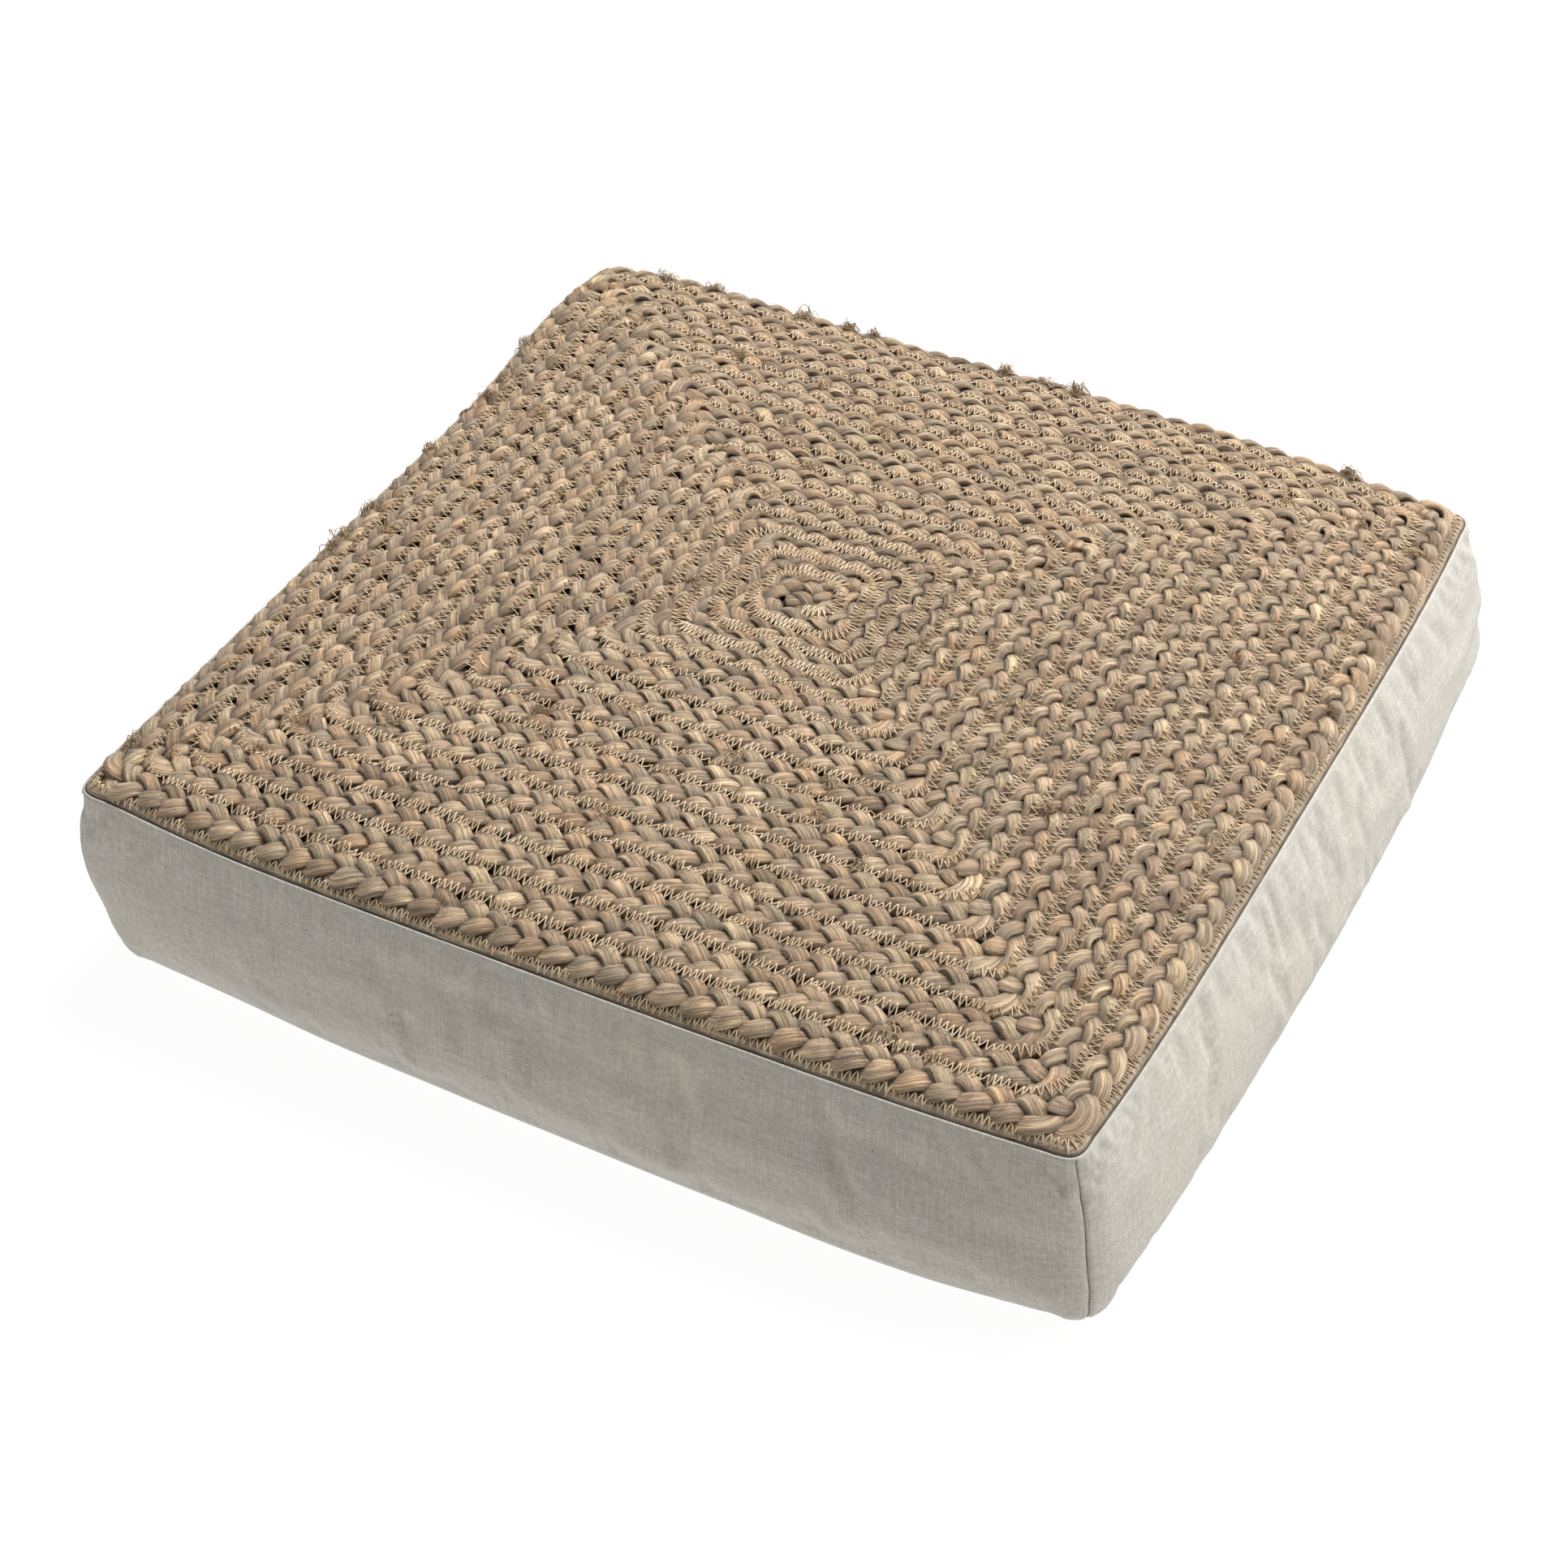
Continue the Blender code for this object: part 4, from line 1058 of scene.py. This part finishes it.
def pad_base(offset):
    """Rings from the middle of the underside out to the foot of the wall and up to the case's seam."""
    turn = np.linspace(0, math.pi / 2, 7)[1:]
    flat = np.linspace(0.02, 1, 20) * PAD_FOOT
    floor, side = PAD_FLOOR + offset, PAD_SIDE - offset
    halves = [*flat, *(PAD_FOOT + (side - PAD_FOOT) * np.sin(turn)), side]
    heights = [*np.full(len(flat), floor), *(floor + PAD_ROUND * (1 - np.cos(turn))), WAIST - 0.0006]
    return pad_wall(halves, heights)


def pad_piece(name, rings, look, node):
    points = np.array(rings).reshape(-1, 3)
    faces = np.concatenate([tube_faces(len(rings), PAD_AROUND), cap_faces(len(rings), PAD_AROUND)])[:, ::-1]
    return mesh_piece(name, points, faces, look, node)


def build_pad():
    """The loose pad inside the cover: a fibre filling in a case sewn from two squares of cloth."""
    wall = [SEAM - 0.008, SEAM - 0.020, WAIST + 0.0006]
    upper = pad_top(-0.0020) + pad_wall([PAD_SIDE] * 3, wall)
    upper += (pad_top(-0.0020 - CASE) + pad_wall([PAD_SIDE - CASE] * 3, wall))[::-1]
    lower = (pad_base(0.0) + pad_base(CASE)[::-1])[::-1]
    for part, rings in (("upper", upper), ("lower", lower)):
        case = pad_piece(f"pad_case_{part}", rings, "case", f"case_{part}")
    filling = pad_top(-0.0034) + pad_wall([PAD_SIDE - 0.0014] * 3, wall) + pad_base(0.0014)[::-1]
    pad_piece("pad_fibre", filling, "fibre", "fibre_fill")


def build_teeth():
    """The zip's nylon coils, in the room that each coil holds."""
    for side in ("lower", "upper"):
        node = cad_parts[f"zip_coil_{side}"]
        box = np.array([node.matrix_world @ Vector(c) for c in node.bound_box])
        low, high = box.min(0) + WIRE, box.max(0) - WIRE
        turns = round((high[0] - low[0]) / TOOTH_STEP)
        a = np.arange(turns * 10 + 1) / 10 * 2 * math.pi
        middle, half = (low + high) / 2, (high - low) / 2
        path = np.stack([np.linspace(low[0], high[0], len(a)), middle[1] + half[1] * np.cos(a),
                         middle[2] + half[2] * np.sin(a)], -1)[None]
        points, faces = thin_tubes(path, WIRE, 6)
        mesh_piece(f"zip_teeth_{side}", points, faces, "nylon", f"zip_coil_{side}")


def hold_in(v):
    return np.clip(v, -FIBRE_LIMIT, FIBRE_LIMIT)


def hair_piece(name, paths, radius, tone, wide):
    """Fine tubes, one for each path of (x, y, z) in flat braid coordinates, each of one colour."""
    steps = paths.shape[-2]
    points, faces = thin_tubes(lay(paths).reshape(-1, steps, 3), radius)
    mesh_piece(name, points, faces, "jute", uv=patch_uv(faces, 0.002, wide), tint=tone.repeat(steps * 4, 0))


def build_fuzz(rings, top_at):
    """Loose fibres that stand off the braid, and the slubs and tufts caught in it."""
    rng = rng_for("fuzz")
    count, steps = 6400, 5
    every = np.concatenate([r[:, 2:7].reshape(-1, 3) for r in rings])
    root = every[rng.integers(0, len(every), count)]
    heading = rng.uniform(0, 2 * math.pi, count)
    length = rng.uniform(0.004, 0.013, count) * (1 + 0.8 * (rng.random(count) < 0.08))
    curl = rng.normal(0, 1.1, count)
    rise = np.abs(rng.normal(0, 0.0007, count)) + 0.0022 * (rng.random(count) < 0.10) * rng.random(count)
    share = np.linspace(0, 1, steps)
    angle = heading[:, None] + curl[:, None] * share
    dx = np.cumsum(np.cos(angle), 1) - np.cos(angle[:, :1])
    dy = np.cumsum(np.sin(angle), 1) - np.sin(angle[:, :1])
    x = hold_in(root[:, :1] + dx * length[:, None] / (steps - 1))
    y = hold_in(root[:, 1:2] + dy * length[:, None] / (steps - 1))
    z = np.maximum(top_at(x, y), root[:, 2:] * (1 - share)) + rise[:, None] * np.sin(share * math.pi * 0.8)
    z = np.maximum(z, root[:, 2:] - 0.0006) + 0.0001
    radius = rng.uniform(0.00007, 0.00014, count)[:, None] * np.linspace(1, 0.5, steps)
    tone = PALETTE[rng.integers(0, len(PALETTE), count)] * rng.uniform(0.9, 1.7, count)[:, None]
    hair_piece("loose_fibres", np.stack([x, y, z], -1), radius, tone, 0.0002)
    # slubs and tufts, the first ones standing up on the back and left edges
    tufts, standing, each = 60, 16, 26
    edge = every[(every[:, 1] > 0.283) | (every[:, 0] < -0.283)]
    root = every[rng.integers(0, len(every), tufts)]
    root[:standing] = edge[rng.integers(0, len(edge), standing)]
    size = rng.uniform(0.0022, 0.0058, tufts)
    size[:standing] = rng.uniform(0.0036, 0.0060, standing)
    size = size[:, None, None]
    tall = np.where(np.arange(tufts) < standing, 1.25, 0.45)[:, None, None]
    golden = np.array([srgb(214, 178, 134)[:3], srgb(196, 162, 122)[:3], srgb(222, 200, 164)[:3]])
    start = root[:, None] + rng.normal(0, 0.45, (tufts, each, 3)) * size * [1, 1, 0.25]
    lean = rng.uniform(0, 2 * math.pi, tufts)
    angle = lean[:, None] + rng.normal(0, 0.9, (tufts, each))
    bend = rng.normal(0, 1.6, (tufts, each))[..., None] * share
    run = size * rng.uniform(0.5, 1.7, (tufts, each))[..., None] * share
    x = hold_in(start[..., :1] + np.cos(angle[..., None] + bend) * run)
    y = hold_in(start[..., 1:2] + np.sin(angle[..., None] + bend) * run)
    z = top_at(x, y) + 0.0003 + size * tall * np.sin(share * math.pi) * rng.random((tufts, each))[..., None]
    radius = rng.uniform(0.00016, 0.00042, tufts * each)[:, None] * np.array([0.5, 1.0, 1.0, 0.8, 0.3])
    tone = golden[rng.integers(0, 3, tufts)].repeat(each, 0) * rng.uniform(0.75, 1.3, tufts * each)[:, None]
    hair_piece("slubs", np.stack([x, y, z], -1), radius, tone, 0.0004)


# ---- camera, light, floor
def build_stage():
    scene = bpy.context.scene
    mesh = bpy.data.meshes.new("floor")
    mesh.from_pydata([(-6, -6, 0), (6, -6, 0), (6, 6, 0), (-6, 6, 0)], [], [(0, 1, 2, 3)])
    floor = add_object("floor", mesh)
    s = Shade("pale_floor", (0.07, 0.07, 0.07, 1), 0.9, Emission_Color=(1, 1, 1, 1), Emission_Strength=0.94)
    mesh.materials.append(s.material)
    floor.location.z = -0.0004

    world = bpy.data.worlds.new("studio")
    world.use_nodes = True
    sky = world.node_tree.nodes["Background"]
    sky.inputs["Color"].default_value = (1.0, 1.0, 1.0, 1.0)
    sky.inputs["Strength"].default_value = 0.24
    scene.world = world

    def lamp(name, place, target, power, size):
        data = bpy.data.lights.new(name, "AREA")
        data.energy = power
        data.size = size
        obj = add_object(name, data)
        obj.location = place
        obj.rotation_euler = (Vector(target) - Vector(place)).to_track_quat("-Z", "Y").to_euler()

    lamp("overhead", (0.0, 1.35, 1.95), (0, 0, 0), 85, 1.7)
    lamp("key", (2.0, 0.6, 1.3), (0, 0, 0.05), 30, 0.9)
    lamp("fill", (-0.9, -2.4, 1.1), (0, 0, 0.05), 7.5, 1.5)

    azimuth, elevation, distance = math.radians(26.9), math.radians(40.8), 1.952
    data = bpy.data.cameras.new("view")
    data.lens = 4100 / 1932 * 36
    data.sensor_width = 36
    data.shift_x = -0.0212
    data.shift_y = 0.0080
    data.clip_start = 0.05
    camera = add_object("view", data)
    back = Vector((math.sin(azimuth) * math.cos(elevation), -math.cos(azimuth) * math.cos(elevation),
                   math.sin(elevation)))
    camera.location = back * distance
    camera.rotation_euler = back.to_track_quat("Z", "Y").to_euler()
    scene.camera = camera
    scene.view_settings.view_transform = "Standard"


# ---- make it
build_stage()
rings = build_braid()
top_at = height_map(rings)
build_stitching(top_at)
build_band()
build_bottom()
build_edge()
build_lining()
build_pad()
build_teeth()
build_fuzz(rings, top_at)

for name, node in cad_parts.items():
    if name.startswith("zip_"):
        look = "tape" if "tape" in name else "metal"
        node.data.materials.clear()
        node.data.materials.append(LOOK[look])
